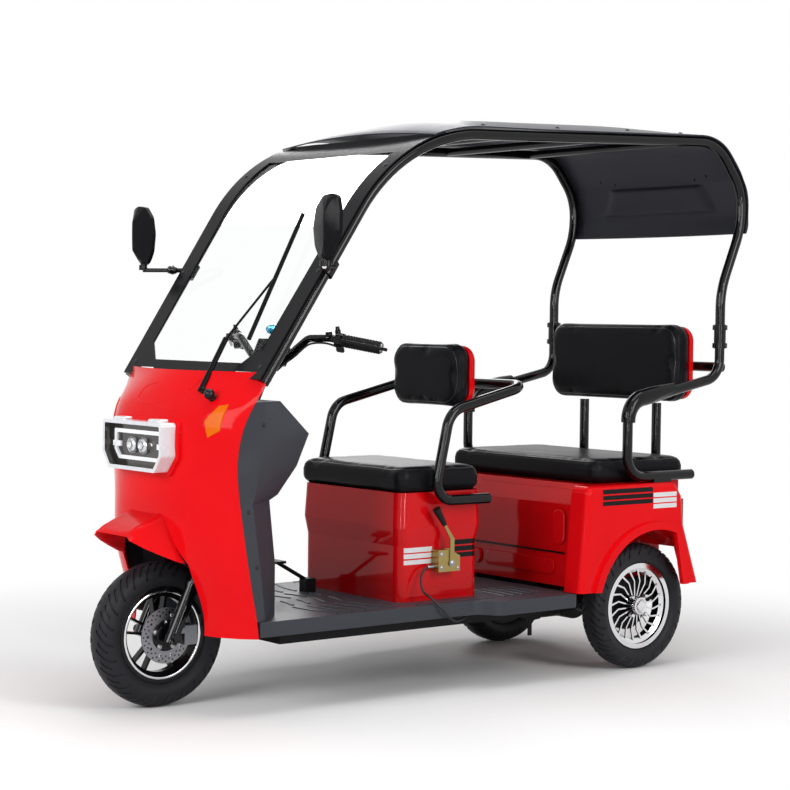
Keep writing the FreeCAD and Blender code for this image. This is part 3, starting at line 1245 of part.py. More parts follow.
def parking_cable():
    """Brake cable from the bracket's front, down and back under the floor's edge."""
    side = BOX_HALF_W - BOX_PROUD + BRAKE_BOX_OUT * 0.5
    front = BRAKE_BOX_Y - BRAKE_BOX_HALF_Y - SEAT_GAP
    under = FLOOR_BASE_Z - 2.5 * CABLE_R
    edge = FLOOR_HALF_W + 4 * CABLE_R
    points = [
        at(side, front, BRAKE_BOX_Z - BRAKE_BOX_HALF_Z * 0.5),
        at(side, front - 24 * CABLE_R, BRAKE_BOX_Z - BRAKE_BOX_HALF_Z * 0.5),
        at(edge, front - 31 * CABLE_R, BRAKE_BOX_Z - BRAKE_BOX_HALF_Z * 1.6),
        at(edge, front - 8 * CABLE_R, FLOOR_TOP_Z - 2 * CABLE_R),
        at(edge - CABLE_R, front + 12 * CABLE_R, under - 2 * CABLE_R),
        at(RAIL_X + RAIL_W, front + 34 * CABLE_R, under),
    ]
    radii = [0, 8 * CABLE_R, 12 * CABLE_R, 12 * CABLE_R, 12 * CABLE_R, 0]
    cable = tube(points, radii, CABLE_R)
    print("cable", round(cable.Volume / (math.pi * CABLE_R ** 2)), "mm long, radii", radii[1:-1])
    return cable


def brake_pedal():
    """Foot brake on the floor ahead of the driver's box: pivot block, arm and pad."""
    x = -0.45 * BOX_HALF_W
    y = BOX_FRONT_Y - 2.6 * RAIL_W
    foot = block(x - RAIL_W * 0.6, x + RAIL_W * 0.6, y - RAIL_W * 0.6, y + RAIL_W * 0.6, FLOOR_TOP_Z,
                 FLOOR_TOP_Z + RAIL_H)
    arm = rod(at(x, y, FLOOR_TOP_Z + RAIL_H * 0.8), at(x, y - 4 * RAIL_W, FLOOR_TOP_Z + 2.4 * RAIL_H),
              PLATE_WALL * 1.5)
    pad = block(x - RAIL_W, x + RAIL_W, y - 4.6 * RAIL_W, y - 3.4 * RAIL_W, FLOOR_TOP_Z + 2.3 * RAIL_H,
                FLOOR_TOP_Z + 2.3 * RAIL_H + 2 * PLATE_WALL)
    return foot.multiFuse([arm, pad]).removeSplitter()


# Rear bodywork

def rear_box_profile(inset):
    """Side outline of the passenger box, shrunk by a wall."""
    front, rear = REAR_BOX_FRONT_Y + inset, REAR_BOX_REAR_Y - inset
    base, top = REAR_BOX_BASE_Z + inset, REAR_BOX_TOP_Z - inset
    return [(front, base), (rear, base), (rear, top), (front + REAR_BOX_BEVEL, top),
            (front + REAR_BOX_BEVEL * 0.2, top - REAR_BOX_BEVEL)]


def wheel_wells(extra):
    """Both wheels' room beside the passenger box."""
    start = WELL_INNER_X - extra
    end = start + FENDER_OUT_X
    well = rod(at(start, REAR_HUB_Y, REAR_HUB_Z), at(end, REAR_HUB_Y, REAR_HUB_Z), WELL_R + extra)
    return both_sides(well)


def rear_box():
    """Hollow passenger seat box with both wheel wells and a mouth in its deck under the lid."""
    outside = side_plate(rear_box_profile(0.0), -REAR_BOX_HALF_W, REAR_BOX_HALF_W)
    wall = REAR_BOX_WALL
    inside = side_plate(rear_box_profile(wall), wall - REAR_BOX_HALF_W, REAR_BOX_HALF_W - wall)
    mouth_half = REAR_CUSHION_HALF_W - 2 * REAR_LID_LAP
    front, rear = REAR_CUSHION_FRONT_Y + REAR_LID_LAP, REAR_BOX_REAR_Y - REAR_LID_LAP
    mouth = block(-mouth_half, mouth_half, front, rear, REAR_BOX_TOP_Z - 2 * wall, REAR_BOX_TOP_Z + OVERRUN)
    return outside.cut(wheel_wells(0.0)).cut(inside.cut(wheel_wells(wall))).cut(mouth)


# Fender outline from its front foot round by its rear foot to its top, as shares of its
# length and height; both feet reach below the level at which the shell is cut off.
FENDER_SHARES = ((-0.006, -0.12), (1.027, -0.12), (0.868, 0.588), (0.849, 0.867), (0.789, 1.0), (0.053, 1.0))


def fender_profile():
    """Side outline of a rear fender."""
    height = REAR_BOX_TOP_Z - FENDER_BASE_Z
    return [(FENDER_FRONT_Y + u * FENDER_LENGTH, FENDER_BASE_Z + v * height) for u, v in FENDER_SHARES]


def fender_body():
    """Left rear fender's outer form before it is hollowed."""
    solid = side_plate(fender_profile(), REAR_BOX_HALF_W + SEAT_GAP, FENDER_OUT_X, FENDER_ROUND)
    rims = [e for e in solid.Edges if e.BoundBox.XMin > FENDER_OUT_X - SEAT_GAP]
    return solid.makeFillet(min(FENDER_ROUND * 0.8, FENDER_WIDTH * 0.4), rims)


def arch_plug(x0, x1, grow):
    """Fender's wheel opening: round at the front and top, with a leaning leg behind it."""
    wheel = rod(at(x0, REAR_HUB_Y, REAR_HUB_Z), at(x1, REAR_HUB_Y, REAR_HUB_Z), WELL_R + grow)
    lean = ARCH_LEG_LEAN / ARCH_LEG_RISE
    leg = ARCH_LEG_Y + grow
    ahead = [(FENDER_FRONT_Y - OVERRUN, 0), (leg + lean * FENDER_BASE_Z, 0),
             (leg - lean * (REAR_BOX_TOP_Z - FENDER_BASE_Z), REAR_BOX_TOP_Z),
             (FENDER_FRONT_Y - OVERRUN, REAR_BOX_TOP_Z)]
    return wheel.common(side_plate(ahead, x0, x1))


def rear_fender():
    """Left rear fender: rounded shell over the wheel with a raised lip round its arch."""
    solid = fender_body()
    middle_y = 0.5 * (FENDER_FRONT_Y + FENDER_REAR_Y)
    hollow = solid.copy()
    scale = FreeCAD.Matrix()
    height = REAR_BOX_TOP_Z - FENDER_BASE_Z
    pivot = at(0, middle_y, FENDER_BASE_Z)
    scale.move(pivot * -1)
    scale.scale(Vector(1, 1 - 2 * FENDER_WALL / FENDER_LENGTH, 1 - FENDER_WALL / height))
    scale.move(pivot + Vector(-FENDER_WALL, 0, 0))
    hollow = hollow.transformGeometry(scale)
    below = block(0, FENDER_OUT_X + OVERRUN, FENDER_FRONT_Y - OVERRUN, FENDER_REAR_Y + 2 * OVERRUN,
                  -OVERRUN, FENDER_BASE_Z + FENDER_WALL * 0.1)
    flare = arch_plug(FENDER_OUT_X - FENDER_WALL, FENDER_OUT_X + FLARE_PROUD, FLARE_WIDTH)
    opening = arch_plug(FENDER_OUT_X - FENDER_WIDTH, FENDER_OUT_X + OVERRUN, 0.0)
    return solid.cut(hollow).fuse(flare).cut(opening).cut(below).removeSplitter()


def rear_cushion():
    """Passenger cushion, which is the rear box's lid."""
    base = REAR_BOX_TOP_Z + SEAT_GAP
    points = rectangle(-REAR_CUSHION_HALF_W, REAR_CUSHION_HALF_W, REAR_CUSHION_FRONT_Y, REAR_CUSHION_REAR_Y)
    pad = plan_plate(points, base, base + CUSHION_THICK, BOX_CORNER_R)
    rim = [edge for edge in pad.Edges if edge.BoundBox.ZMin > base + CUSHION_THICK * 0.9]
    return pad.makeFillet(CUSHION_ROUND, rim)


def arm_tube(grow):
    """Bent run of the left arm tube, from the roof coupling round to its open rear end."""
    points = [
        at(ROOF_REAR_X, COUPLING_Y, COUPLING_Z - SEAT_GAP),
        at(ROOF_REAR_X, COUPLING_Y, REAR_ARM_TOP_Z + REAR_ARM_RISE),
        at(ROOF_REAR_X - REAR_ARM_IN, REAR_ARM_FRONT_Y, REAR_ARM_TOP_Z),
        at(ROOF_REAR_X - REAR_ARM_IN, REAR_ARM_FRONT_Y, REAR_ARM_LOW_Z),
        at(ROOF_REAR_X - REAR_ARM_IN, REAR_ARM_END_Y, REAR_ARM_LOW_Z),
    ]
    return tube(points, [0, REAR_ARM_BEND_R, REAR_ARM_BEND_R, REAR_ARM_BEND_R, 0], ARM_R + grow)


def rear_arms():
    """C-shaped arm tube each side, carried by the roof coupling and a bracket on the fender."""
    foot_y = 0.5 * (REAR_ARM_FRONT_Y + REAR_ARM_END_Y)
    middle = ROOF_REAR_X - REAR_ARM_IN
    reach = REAR_ARM_FOOT_HALF
    foot = block(middle - 0.9 * ARM_R, middle + 0.9 * ARM_R, foot_y - reach, foot_y + reach,
                 REAR_BOX_TOP_Z + SEAT_GAP, REAR_ARM_LOW_Z)
    return both_sides(arm_tube(0.0).fuse(foot).removeSplitter())


def couplings():
    """Sleeve with two clamp rings that joins each roof tube to the arm tube below it."""
    middle = at(ROOF_REAR_X, COUPLING_Y, COUPLING_Z)
    half = Vector(0, 0, COUPLING_LENGTH * 0.5)
    sleeve = rod(middle - half, middle + half, COUPLING_R)
    depth = Vector(0, 0, TUBE_R * 0.5)
    rings = [rod(middle + half * s - depth, middle + half * s + depth, COUPLING_R * 1.25) for s in (-0.75, 0.75)]
    upper = rod(middle, middle + half * 2, TUBE_R + SEAT_GAP)
    lower = rod(middle - half * 2, middle, ARM_R + SEAT_GAP)
    return both_sides(sleeve.multiFuse(rings).cut(upper).cut(lower).removeSplitter())


def rear_back_frame():
    """Two posts from the frame's rear cross member to the backrest and the tube across behind it."""
    cross_y = REAR_COVER_BACK_Y + SEAT_GAP + ARM_R
    cross = rod(at(-ROOF_REAR_X, cross_y, REAR_CROSS_Z), at(ROOF_REAR_X, cross_y, REAR_CROSS_Z), ARM_R)
    post = rod(at(POST_X, POST_Y, FLOOR_BASE_Z + RAIL_KICK_RISE + SEAT_GAP),
               at(POST_X, POST_Y, REAR_BACK_LOW_Z - SEAT_GAP), ARM_R)
    return Part.makeCompound([cross.cut(both_sides(arm_tube(SEAT_GAP))), post, mirrored(post)])


def armrest_pads():
    """Hard gloss pad moulded round each arm tube's front bend and forward run."""
    slope = REAR_ARM_RISE / (COUPLING_Y - REAR_ARM_FRONT_Y)
    x = ROOF_REAR_X - REAR_ARM_IN
    rear_y = REAR_ARM_FRONT_Y + ARM_PAD_LENGTH
    points = [at(x, REAR_ARM_FRONT_Y, REAR_ARM_TOP_Z - ARM_PAD_DROP), at(x, REAR_ARM_FRONT_Y, REAR_ARM_TOP_Z),
              at(x, rear_y, REAR_ARM_TOP_Z + slope * ARM_PAD_LENGTH)]
    pad = tube(points, [0, REAR_ARM_BEND_R, 0], ARM_PAD_R)
    pad.translate(Vector(SEAT_GAP, 0, ARM_PAD_LIFT))
    return both_sides(pad.cut(arm_tube(SEAT_GAP)))


def tail_lamps():
    """Red lamp on the rear face of each fender."""
    z = REAR_BOX_TOP_Z - REAR_BOX_BEVEL * 1.6
    x = FENDER_OUT_X - FENDER_ROUND - TAIL_LAMP_W
    back_y = FENDER_REAR_Y - FENDER_LENGTH * 0.132 + TAIL_LAMP_DEPTH
    lamp = block(x, x + TAIL_LAMP_W, back_y - 4 * TAIL_LAMP_DEPTH, back_y,
                 z - TAIL_LAMP_HALF_H, z + TAIL_LAMP_HALF_H)
    seat = fender_body()
    seat.translate(Vector(0, SEAT_GAP, 0))
    return both_sides(lamp.cut(seat))


# Running gear

def rear_axle():
    """Axle tube with the gearcase, motor, brake drums and the stub that carries each wheel."""
    hub = (REAR_HUB_Y, REAR_HUB_Z)
    pieces = [rod(at(-GEARCASE_HALF_W, *hub), at(GEARCASE_HALF_W, *hub), GEARCASE_R)]
    pieces.append(rod(at(0, hub[0], hub[1]), at(0, hub[0] - MOTOR_LENGTH, hub[1]), MOTOR_R))
    drum_out = HALF_TRACK - 0.6 * RIM_HALF_W - MOVE_GAP
    for side in (-1, 1):
        pieces.append(rod(at(side * drum_out, *hub), at(side * (drum_out - DRUM_W), *hub), DRUM_R))
        pieces.append(rod(at(0, *hub), at(side * (drum_out + RIM_HALF_W * 1.1), *hub), AXLE_R))
    tube_run = rod(at(-drum_out, *hub), at(drum_out, *hub), AXLE_TUBE_R)
    return tube_run.multiFuse(pieces).removeSplitter()


def leaf_springs():
    """Leaf spring under the axle each side, hung from the rails by eyes."""
    seat_z = REAR_HUB_Z - AXLE_TUBE_R - SEAT_GAP
    low = seat_z - SPRING_THICK
    ends_z = low + SPRING_SAG
    x0, x1 = RAIL_X - SPRING_W * 0.5, RAIL_X + SPRING_W * 0.5

    def bow(z_mid, z_end):
        return Part.Arc(at(x0, REAR_HUB_Y - SPRING_HALF, z_end), at(x0, REAR_HUB_Y, z_mid),
                        at(x0, REAR_HUB_Y + SPRING_HALF, z_end)).toShape()

    lower, upper = bow(low, ends_z), bow(seat_z, ends_z + SPRING_THICK * 0.6)
    caps = [Part.makeLine(lower.Vertexes[i].Point, upper.Vertexes[i].Point) for i in (0, 1)]
    leaf = Part.Face(Part.Wire([lower, caps[1], upper, caps[0]])).extrude(Vector(SPRING_W, 0, 0))
    rail_low = FLOOR_BASE_Z - RAIL_H + RAIL_KICK_RISE
    pieces = []
    for y in (REAR_HUB_Y - SPRING_HALF, REAR_HUB_Y + SPRING_HALF):
        pieces.append(rod(at(x0, y, ends_z + EYE_R * 0.4), at(x1, y, ends_z + EYE_R * 0.4), EYE_R))
        pieces.append(block(RAIL_X - RAIL_W * 0.5, RAIL_X + RAIL_W * 0.5, y - EYE_R * 0.8, y + EYE_R * 0.8,
                            ends_z, rail_low - SEAT_GAP))
    return both_sides(leaf.multiFuse(pieces).removeSplitter())


def build():
    """Make and save every sub-part."""
    save(main_frame(), "main_frame")
    save(footboard(), "footboard")
    save(front_fairing(), "front_fairing")
    save(front_mudguard(), "front_mudguard")
    save(front_signals(), "front_signals")
    save(headlamp_housing(), "headlamp_housing")
    save(Part.makeCompound([headlamp_ring(), headlamp_lenses()]), "headlamp_lights")
    save(inner_shield(), "inner_shield")
    save(roof_frame(), "roof_frame")
    save(roof_panel(), "roof_panel")
    save(windscreen_frame(), "windscreen_frame")
    save(windscreen_glass(), "windscreen_glass")
    save(wiper(), "wiper")
    save(Part.makeCompound([mirror_heads(), mirror_arms()]), "mirrors")
    save(driver_box(), "driver_box")
    save(battery(), "battery")
    save(front_cushion(), "front_cushion")
    save(front_arm_loop(), "front_arm_loop")
    save(back_pad(BACK_HALF_W, BACK_FRONT_Y, BACK_LOW_Z, BACK_TOP_Z, BACK_PAD_THICK), "front_backrest_pad")
    cover = back_cover(BACK_HALF_W, BACK_FRONT_Y, BACK_LOW_Z, BACK_TOP_Z, BACK_PAD_THICK, BACK_COVER_THICK)
    save(cover, "front_backrest_cover")
    save(parking_brake(), "parking_brake")
    save(parking_cable(), "parking_brake_cable")
    save(brake_pedal(), "brake_pedal")
    save(rear_box(), "rear_box")
    save(both_sides(rear_fender()), "rear_fenders")
    save(rear_cushion(), "rear_cushion")
    rear_pad = back_pad(REAR_BACK_HALF_W, REAR_BACK_FRONT_Y, REAR_BACK_LOW_Z, REAR_BACK_TOP_Z, REAR_PAD_THICK)
    save(rear_pad, "rear_backrest_pad")
    rear_cover = back_cover(REAR_BACK_HALF_W, REAR_BACK_FRONT_Y, REAR_BACK_LOW_Z, REAR_BACK_TOP_Z,
                            REAR_PAD_THICK, REAR_COVER_THICK)
    save(rear_cover, "rear_backrest_cover")
    save(Part.makeCompound([rear_arms(), couplings(), rear_back_frame()]), "rear_arm_frame")
    save(armrest_pads(), "armrest_pads")
    save(tail_lamps(), "tail_lamps")
    save(rear_axle(), "rear_axle")
    save(leaf_springs(), "leaf_springs")
    save(fork(), "fork")
    save(caliper(), "brake_caliper")
    save(handlebar(), "handlebar")
    save(grips(), "grips_and_levers")
    save(instrument_pod(), "instrument_pod")
    save(placed(tyre(FRONT_TYRE_R), *FRONT_HUB), "front_tyre")
    save(placed(front_rim(), *FRONT_HUB), "front_rim")
    save(placed(brake_disc(), *FRONT_HUB), "brake_disc")
    rear_tyre_shape, rear_rim_shape = tyre(REAR_TYRE_R), rear_rim()
    for name, side in (("left", 1), ("right", -1)):
        rubber, rim = rear_tyre_shape, rear_rim_shape
        if side < 0:
            rim = mirrored(rim)
        save(placed(rubber, side * HALF_TRACK, REAR_HUB_Y, REAR_HUB_Z), "rear_tyre_" + name)
        save(placed(rim, side * HALF_TRACK, REAR_HUB_Y, REAR_HUB_Z), "rear_rim_" + name)


build()
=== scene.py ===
"""Looks of an electric passenger tricycle: red moulded bodywork, black bent tubes, leatherette seats.

Metres. X points to the vehicle's left, Y to its rear, Z up. Places along Y are written rearward
from the front axle, and at() moves them into the part's frame.
"""
import logging
import math
from collections.abc import Iterable, Sequence
from dataclasses import dataclass, field
from enum import Enum

import bmesh
import bpy
from mathutils import Matrix, Vector
from mathutils.bvhtree import BVHTree


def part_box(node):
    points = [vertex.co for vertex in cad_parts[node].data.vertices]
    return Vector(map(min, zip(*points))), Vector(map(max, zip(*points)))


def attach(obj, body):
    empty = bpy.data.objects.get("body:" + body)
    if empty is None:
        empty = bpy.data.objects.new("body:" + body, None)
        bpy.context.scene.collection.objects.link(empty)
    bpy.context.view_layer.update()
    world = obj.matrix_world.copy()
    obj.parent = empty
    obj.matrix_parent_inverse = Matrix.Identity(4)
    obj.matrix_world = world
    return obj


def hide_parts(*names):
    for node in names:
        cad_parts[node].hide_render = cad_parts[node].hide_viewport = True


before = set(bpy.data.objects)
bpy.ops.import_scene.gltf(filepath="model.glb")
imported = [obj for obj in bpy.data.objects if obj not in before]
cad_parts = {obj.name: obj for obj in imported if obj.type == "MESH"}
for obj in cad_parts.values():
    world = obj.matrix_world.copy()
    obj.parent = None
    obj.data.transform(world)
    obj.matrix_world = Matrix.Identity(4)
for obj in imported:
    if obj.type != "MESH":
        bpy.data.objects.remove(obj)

LOG = logging.getLogger("tricycle")
AXLE_Y = -0.9029
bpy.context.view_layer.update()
FLAT = math.radians(0.6)

LEFT, REAR, UP = Vector((1.0, 0.0, 0.0)), Vector((0.0, 1.0, 0.0)), Vector((0.0, 0.0, 1.0))
AHEAD, DOWN = Vector((0.0, -1.0, 0.0)), Vector((0.0, 0.0, -1.0))
SIDES = (1.0, -1.0)

Form = bmesh.types.BMesh
Point = tuple[float, float, float]


def show(item: bpy.types.Object) -> None:
    """Put an object in the scene."""
    bpy.context.scene.collection.objects.link(item)


def at(x: float, y: float, z: float) -> Vector:
    """Point at x, at y behind the front axle and at height z."""
    return Vector((x, y + AXLE_Y, z))


# Shared shader effects


class Effect(Enum):
    """Relief or colour change that several finishes share."""

    PEEL = "paint_peel"
    GRAIN = "mould_grain"
    LEATHER = "leather_grain"
    BRUSHED = "brushed_streaks"
    CLOUD = "soft_cloud"


def effect_group(effect: Effect) -> bpy.types.NodeTree:
    """Build one shared effect, or find it again.

    Args:
        effect: Which effect.

    Returns:
        A group with a Scale input and the outputs Height and Mask.
    """
    if effect.value in bpy.data.node_groups:
        return bpy.data.node_groups[effect.value]
    tree = bpy.data.node_groups.new(effect.value, "ShaderNodeTree")
    scale = tree.interface.new_socket(name="Scale", in_out="INPUT", socket_type="NodeSocketFloat")
    scale.default_value = 100.0
    for name in ("Height", "Mask"):
        tree.interface.new_socket(name=name, in_out="OUTPUT", socket_type="NodeSocketFloat")
    nodes, links = tree.nodes, tree.links
    entry, leave = nodes.new("NodeGroupInput"), nodes.new("NodeGroupOutput")
    place = nodes.new("ShaderNodeTexCoord").outputs["Object"]
    cloud = nodes.new("ShaderNodeTexNoise")
    cloud.inputs["Scale"].default_value = 5.0
    cloud.inputs["Detail"].default_value = 4.0
    links.new(place, cloud.inputs["Vector"])
    links.new(cloud.outputs["Fac"], leave.inputs["Mask"])
    pattern = nodes.new("ShaderNodeTexVoronoi" if effect is Effect.LEATHER else "ShaderNodeTexNoise")
    if effect is Effect.LEATHER:
        pattern.feature = "SMOOTH_F1"
    elif effect is Effect.BRUSHED:
        stretch = nodes.new("ShaderNodeMapping")
        stretch.inputs["Scale"].default_value = (0.05, 1.0, 1.0)
        links.new(place, stretch.inputs["Vector"])
        place = stretch.outputs["Vector"]
    else:
        pattern.inputs["Detail"].default_value = 0.0 if effect is Effect.PEEL else 6.0
    links.new(place, pattern.inputs["Vector"])
    links.new(entry.outputs["Scale"], pattern.inputs["Scale"])
    links.new(pattern.outputs["Distance" if effect is Effect.LEATHER else "Fac"], leave.inputs["Height"])
    return tree


@dataclass(frozen=True)
class Finish:
    """One material of the vehicle."""

    name: str
    colour: Point
    roughness: float = 0.5
    metallic: float = 0.0
    coat: float = 0.0
    shade: Point | None = None
    effect: Effect = Effect.CLOUD
    scale: float = 100.0
    relief: float = 0.0
    rough_spread: float = 0.06
    see_through: float = 0.0
    glow: float = 0.0
    specular: float = 0.5
    ior: float = 1.5

    def material(self) -> bpy.types.Material:
        """The finish as a material, built once, apart from the frame's own slots."""
        label = "finish_" + self.name
        if label in bpy.data.materials:
            return bpy.data.materials[label]
        material = bpy.data.materials.new(label)
        material.use_nodes = True
        nodes, links = material.node_tree.nodes, material.node_tree.links
        shader = nodes["Principled BSDF"]
        for socket, value in (("Metallic", self.metallic), ("Coat Weight", self.coat),
                              ("Coat Roughness", 0.04), ("Transmission Weight", self.see_through),
                              ("Specular IOR Level", self.specular), ("IOR", self.ior)):
            shader.inputs[socket].default_value = value
        effect = nodes.new("ShaderNodeGroup")
        effect.node_tree = effect_group(self.effect)
        effect.inputs["Scale"].default_value = self.scale
        blend = nodes.new("ShaderNodeMix")
        blend.data_type = "RGBA"
        shade = self.shade or tuple(0.82 * part for part in self.colour)
        blend.inputs[6].default_value = (*self.colour, 1.0)
        blend.inputs[7].default_value = (*shade, 1.0)
        spread = nodes.new("ShaderNodeMapRange")
        spread.inputs["To Min"].default_value = max(self.roughness - self.rough_spread, 0.0)
        spread.inputs["To Max"].default_value = min(self.roughness + self.rough_spread, 1.0)
        links.new(effect.outputs["Mask"], blend.inputs[0])
        links.new(effect.outputs["Mask"], spread.inputs["Value"])
        links.new(blend.outputs[2], shader.inputs["Base Color"])
        links.new(spread.outputs["Result"], shader.inputs["Roughness"])
        if self.relief > 0.0:
            bump = nodes.new("ShaderNodeBump")
            bump.inputs["Strength"].default_value = self.relief
            bump.inputs["Distance"].default_value = 0.001
            links.new(effect.outputs["Height"], bump.inputs["Height"])
            links.new(bump.outputs["Normal"], shader.inputs["Normal"])
        if self.glow > 0.0:
            shader.inputs["Emission Color"].default_value = (*self.colour, 1.0)
            shader.inputs["Emission Strength"].default_value = self.glow
        return material


RED_PAINT = Finish("red_gloss", (0.80, 0.0050, 0.0085), 0.11, coat=0.10, shade=(0.73, 0.0030, 0.0062),
                   effect=Effect.PEEL, scale=60.0, relief=0.015, rough_spread=0.03, specular=0.03)
# Box red: the body red darkened to about 0.8 of itself, as painted shade for the boxes inside the cabin,
# under a glossier coat.
BOX_RED_SHADED = Finish("red_box_gloss_painted_shade", (0.64, 0.0040, 0.0068), 0.09, coat=0.30, shade=(0.58, 0.0026, 0.0052),
                   effect=Effect.PEEL, scale=60.0, relief=0.012, rough_spread=0.03, specular=0.03)
BLACK_PAINT = Finish("black_gloss_tube", (0.0036, 0.0036, 0.0046), 0.07, coat=0.45, effect=Effect.PEEL,
                     scale=90.0, relief=0.012, rough_spread=0.03, specular=0.05)
SATIN_BLACK = Finish("satin_black_steel", (0.009, 0.009, 0.0105), 0.40, coat=0.05, effect=Effect.GRAIN,
                     scale=600.0, relief=0.08, specular=0.08)
GREY_PLASTIC = Finish("grey_moulding", (0.038, 0.043, 0.054), 0.40, effect=Effect.GRAIN, scale=900.0,
                      relief=0.18, specular=0.24)
BLACK_PLASTIC = Finish("black_moulding", (0.0065, 0.0066, 0.0082), 0.22, effect=Effect.GRAIN, scale=900.0,
                       relief=0.10, specular=0.07)
ROOF_PLASTIC = Finish("satin_roof_moulding", (0.0340, 0.0350, 0.0460), 0.32, effect=Effect.PEEL, scale=40.0,
                      relief=0.05, specular=0.12)
GLOSS_BLACK = Finish("gloss_black_moulding", (0.0050, 0.0050, 0.0062), 0.10, coat=0.28, effect=Effect.PEEL,
                     scale=80.0, relief=0.015, rough_spread=0.03, specular=0.08)
LEATHERETTE = Finish("black_leatherette", (0.0070, 0.0073, 0.0090), 0.30, shade=(0.0100, 0.0102, 0.0122),
                     effect=Effect.LEATHER, scale=620.0, relief=0.18, specular=0.055)
WELT = Finish("sewn_welt", (0.006, 0.006, 0.007), 0.28, effect=Effect.LEATHER, scale=900.0, relief=0.12,
              specular=0.30)
SILVER = Finish("silver_lacquer", (0.80, 0.82, 0.86), 0.26, metallic=0.22, coat=0.4, effect=Effect.PEEL,
                scale=140.0, relief=0.02)
SMOKED = Finish("smoked_recess", (0.030, 0.029, 0.028), 0.14, metallic=0.25, coat=0.4,
                shade=(0.075, 0.068, 0.060), effect=Effect.BRUSHED, scale=160.0, relief=0.04, specular=0.3)
LAMP_WHITE = Finish("diffuser_white", (0.90, 0.92, 0.95), 0.16, coat=0.6, glow=0.18)
CHROME = Finish("bright_chrome", (0.74, 0.74, 0.76), 0.07, metallic=1.0, rough_spread=0.02)
LENS = Finish("lens_glass", (0.80, 0.83, 0.86), 0.05, coat=1.0, shade=(0.55, 0.58, 0.62), metallic=0.35,
              rough_spread=0.02)
MIRROR_GLASS = Finish("mirror_glass", (0.72, 0.74, 0.76), 0.03, metallic=1.0, rough_spread=0.01)
MACHINED = Finish("machined_rim", (0.78, 0.78, 0.80), 0.14, metallic=1.0, effect=Effect.BRUSHED,
                  scale=700.0, relief=0.05)
RIM_BLACK = Finish("rim_black", (0.0055, 0.0055, 0.0068), 0.20, coat=0.25, effect=Effect.PEEL, scale=120.0,
                   relief=0.03, specular=0.08)
TYRE_RUBBER = Finish("tyre_rubber", (0.0160, 0.0162, 0.0195), 0.46, shade=(0.0235, 0.0235, 0.0275),
                     effect=Effect.GRAIN, scale=500.0, relief=0.22, specular=0.12)
GRIP_RUBBER = Finish("grip_rubber", (0.009, 0.009, 0.009), 0.50, effect=Effect.GRAIN, scale=700.0,
                     relief=0.25, specular=0.15)
STEEL = Finish("brushed_steel", (0.38, 0.38, 0.40), 0.28, metallic=1.0, effect=Effect.BRUSHED,
               scale=900.0, relief=0.10)
DISC_STEEL = Finish("ground_disc", (0.24, 0.24, 0.26), 0.32, metallic=0.9, effect=Effect.BRUSHED,
                    scale=900.0, relief=0.12)
CAST_ALLOY = Finish("cast_alloy", (0.22, 0.23, 0.25), 0.38, metallic=0.85, effect=Effect.GRAIN,
                    scale=500.0, relief=0.20)
ZINC = Finish("yellow_zinc", (0.30, 0.27, 0.085), 0.24, metallic=0.85, shade=(0.36, 0.21, 0.085),
              effect=Effect.GRAIN, scale=300.0, relief=0.06)
AMBER = Finish("amber_lens", (0.60, 0.060, 0.001), 0.20, coat=0.03, shade=(0.84, 0.18, 0.003), specular=0.04)
RED_LENS = Finish("red_lens", (0.20, 0.003, 0.005), 0.10, coat=0.8, glow=0.01)
CLEAR = Finish("clear_sheet", (0.985, 0.99, 0.993), 0.012, see_through=1.0, shade=(0.98, 0.985, 0.99),
               rough_spread=0.006, ior=1.09)
WHITE_STRIPE = Finish("white_stripe", (0.76, 0.76, 0.78), 0.26, coat=0.4)
BLACK_STRIPE = Finish("black_stripe", (0.0065, 0.0065, 0.0075), 0.22, coat=0.1, specular=0.08)
BLUE_KNOB = Finish("blue_knob", (0.010, 0.28, 0.46), 0.18, metallic=0.3, coat=0.6)
CABLE_JACKET = Finish("cable_jacket", (0.010, 0.010, 0.011), 0.38, effect=Effect.GRAIN, scale=400.0,
                      relief=0.10, specular=0.35)
BOLT_STEEL = Finish("blackened_bolt", (0.030, 0.030, 0.034), 0.30, metallic=0.8, effect=Effect.GRAIN,
                    scale=500.0, relief=0.08)


# Mesh helpers


def smooth_by_angle(bm: Form, degrees: float, level: float) -> None:
    """Shade smooth, with edges sharper than an angle left crisp.

    Args:
        bm: The mesh to shade.
        degrees: The least angle of a crisp edge.
        level: The same for edges that run level, such as a pressed belt's.
    """
    for face in bm.faces:
        face.smooth = True
    for edge in bm.edges:
        rise = abs(edge.verts[0].co.z - edge.verts[1].co.z)
        limit = math.radians(level if rise < 0.02 * edge.calc_length() else degrees)
        edge.smooth = not (len(edge.link_faces) == 2 and edge.calc_face_angle(0.0) > limit)


def finish_piece(name: str, bm: Form, finishes: Sequence[Finish], body: str,
                 replaced: Sequence[str] = (), crisp: float = 35.0,
                 level: float | None = None) -> bpy.types.Object:
    """Turn a bmesh into a piece of the vehicle.

    Args:
        name: The piece's name.
        bm: Its mesh in the vehicle's frame; it is freed here.
        finishes: Its materials, in slot order.
        body: The body it rides on.
        replaced: CAD nodes that it stands for.
        crisp: Angle in degrees above which an edge stays crisp.
        level: The same for level edges, where it differs.

    Returns:
        The new object.
    """
    smooth_by_angle(bm, crisp, crisp if level is None else level)
    mesh = bpy.data.meshes.new(name)
    bm.to_mesh(mesh)
    bm.free()
    for finish in finishes:
        mesh.materials.append(finish.material())
    piece = bpy.data.objects.new(name, mesh)
    show(piece)
    even = piece.modifiers.new("even", "WEIGHTED_NORMAL")
    even.keep_sharp = True
    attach(piece, body)
    if replaced:
        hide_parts(*replaced)
    LOG.info("%s: %d faces", name, len(mesh.polygons))
    return piece


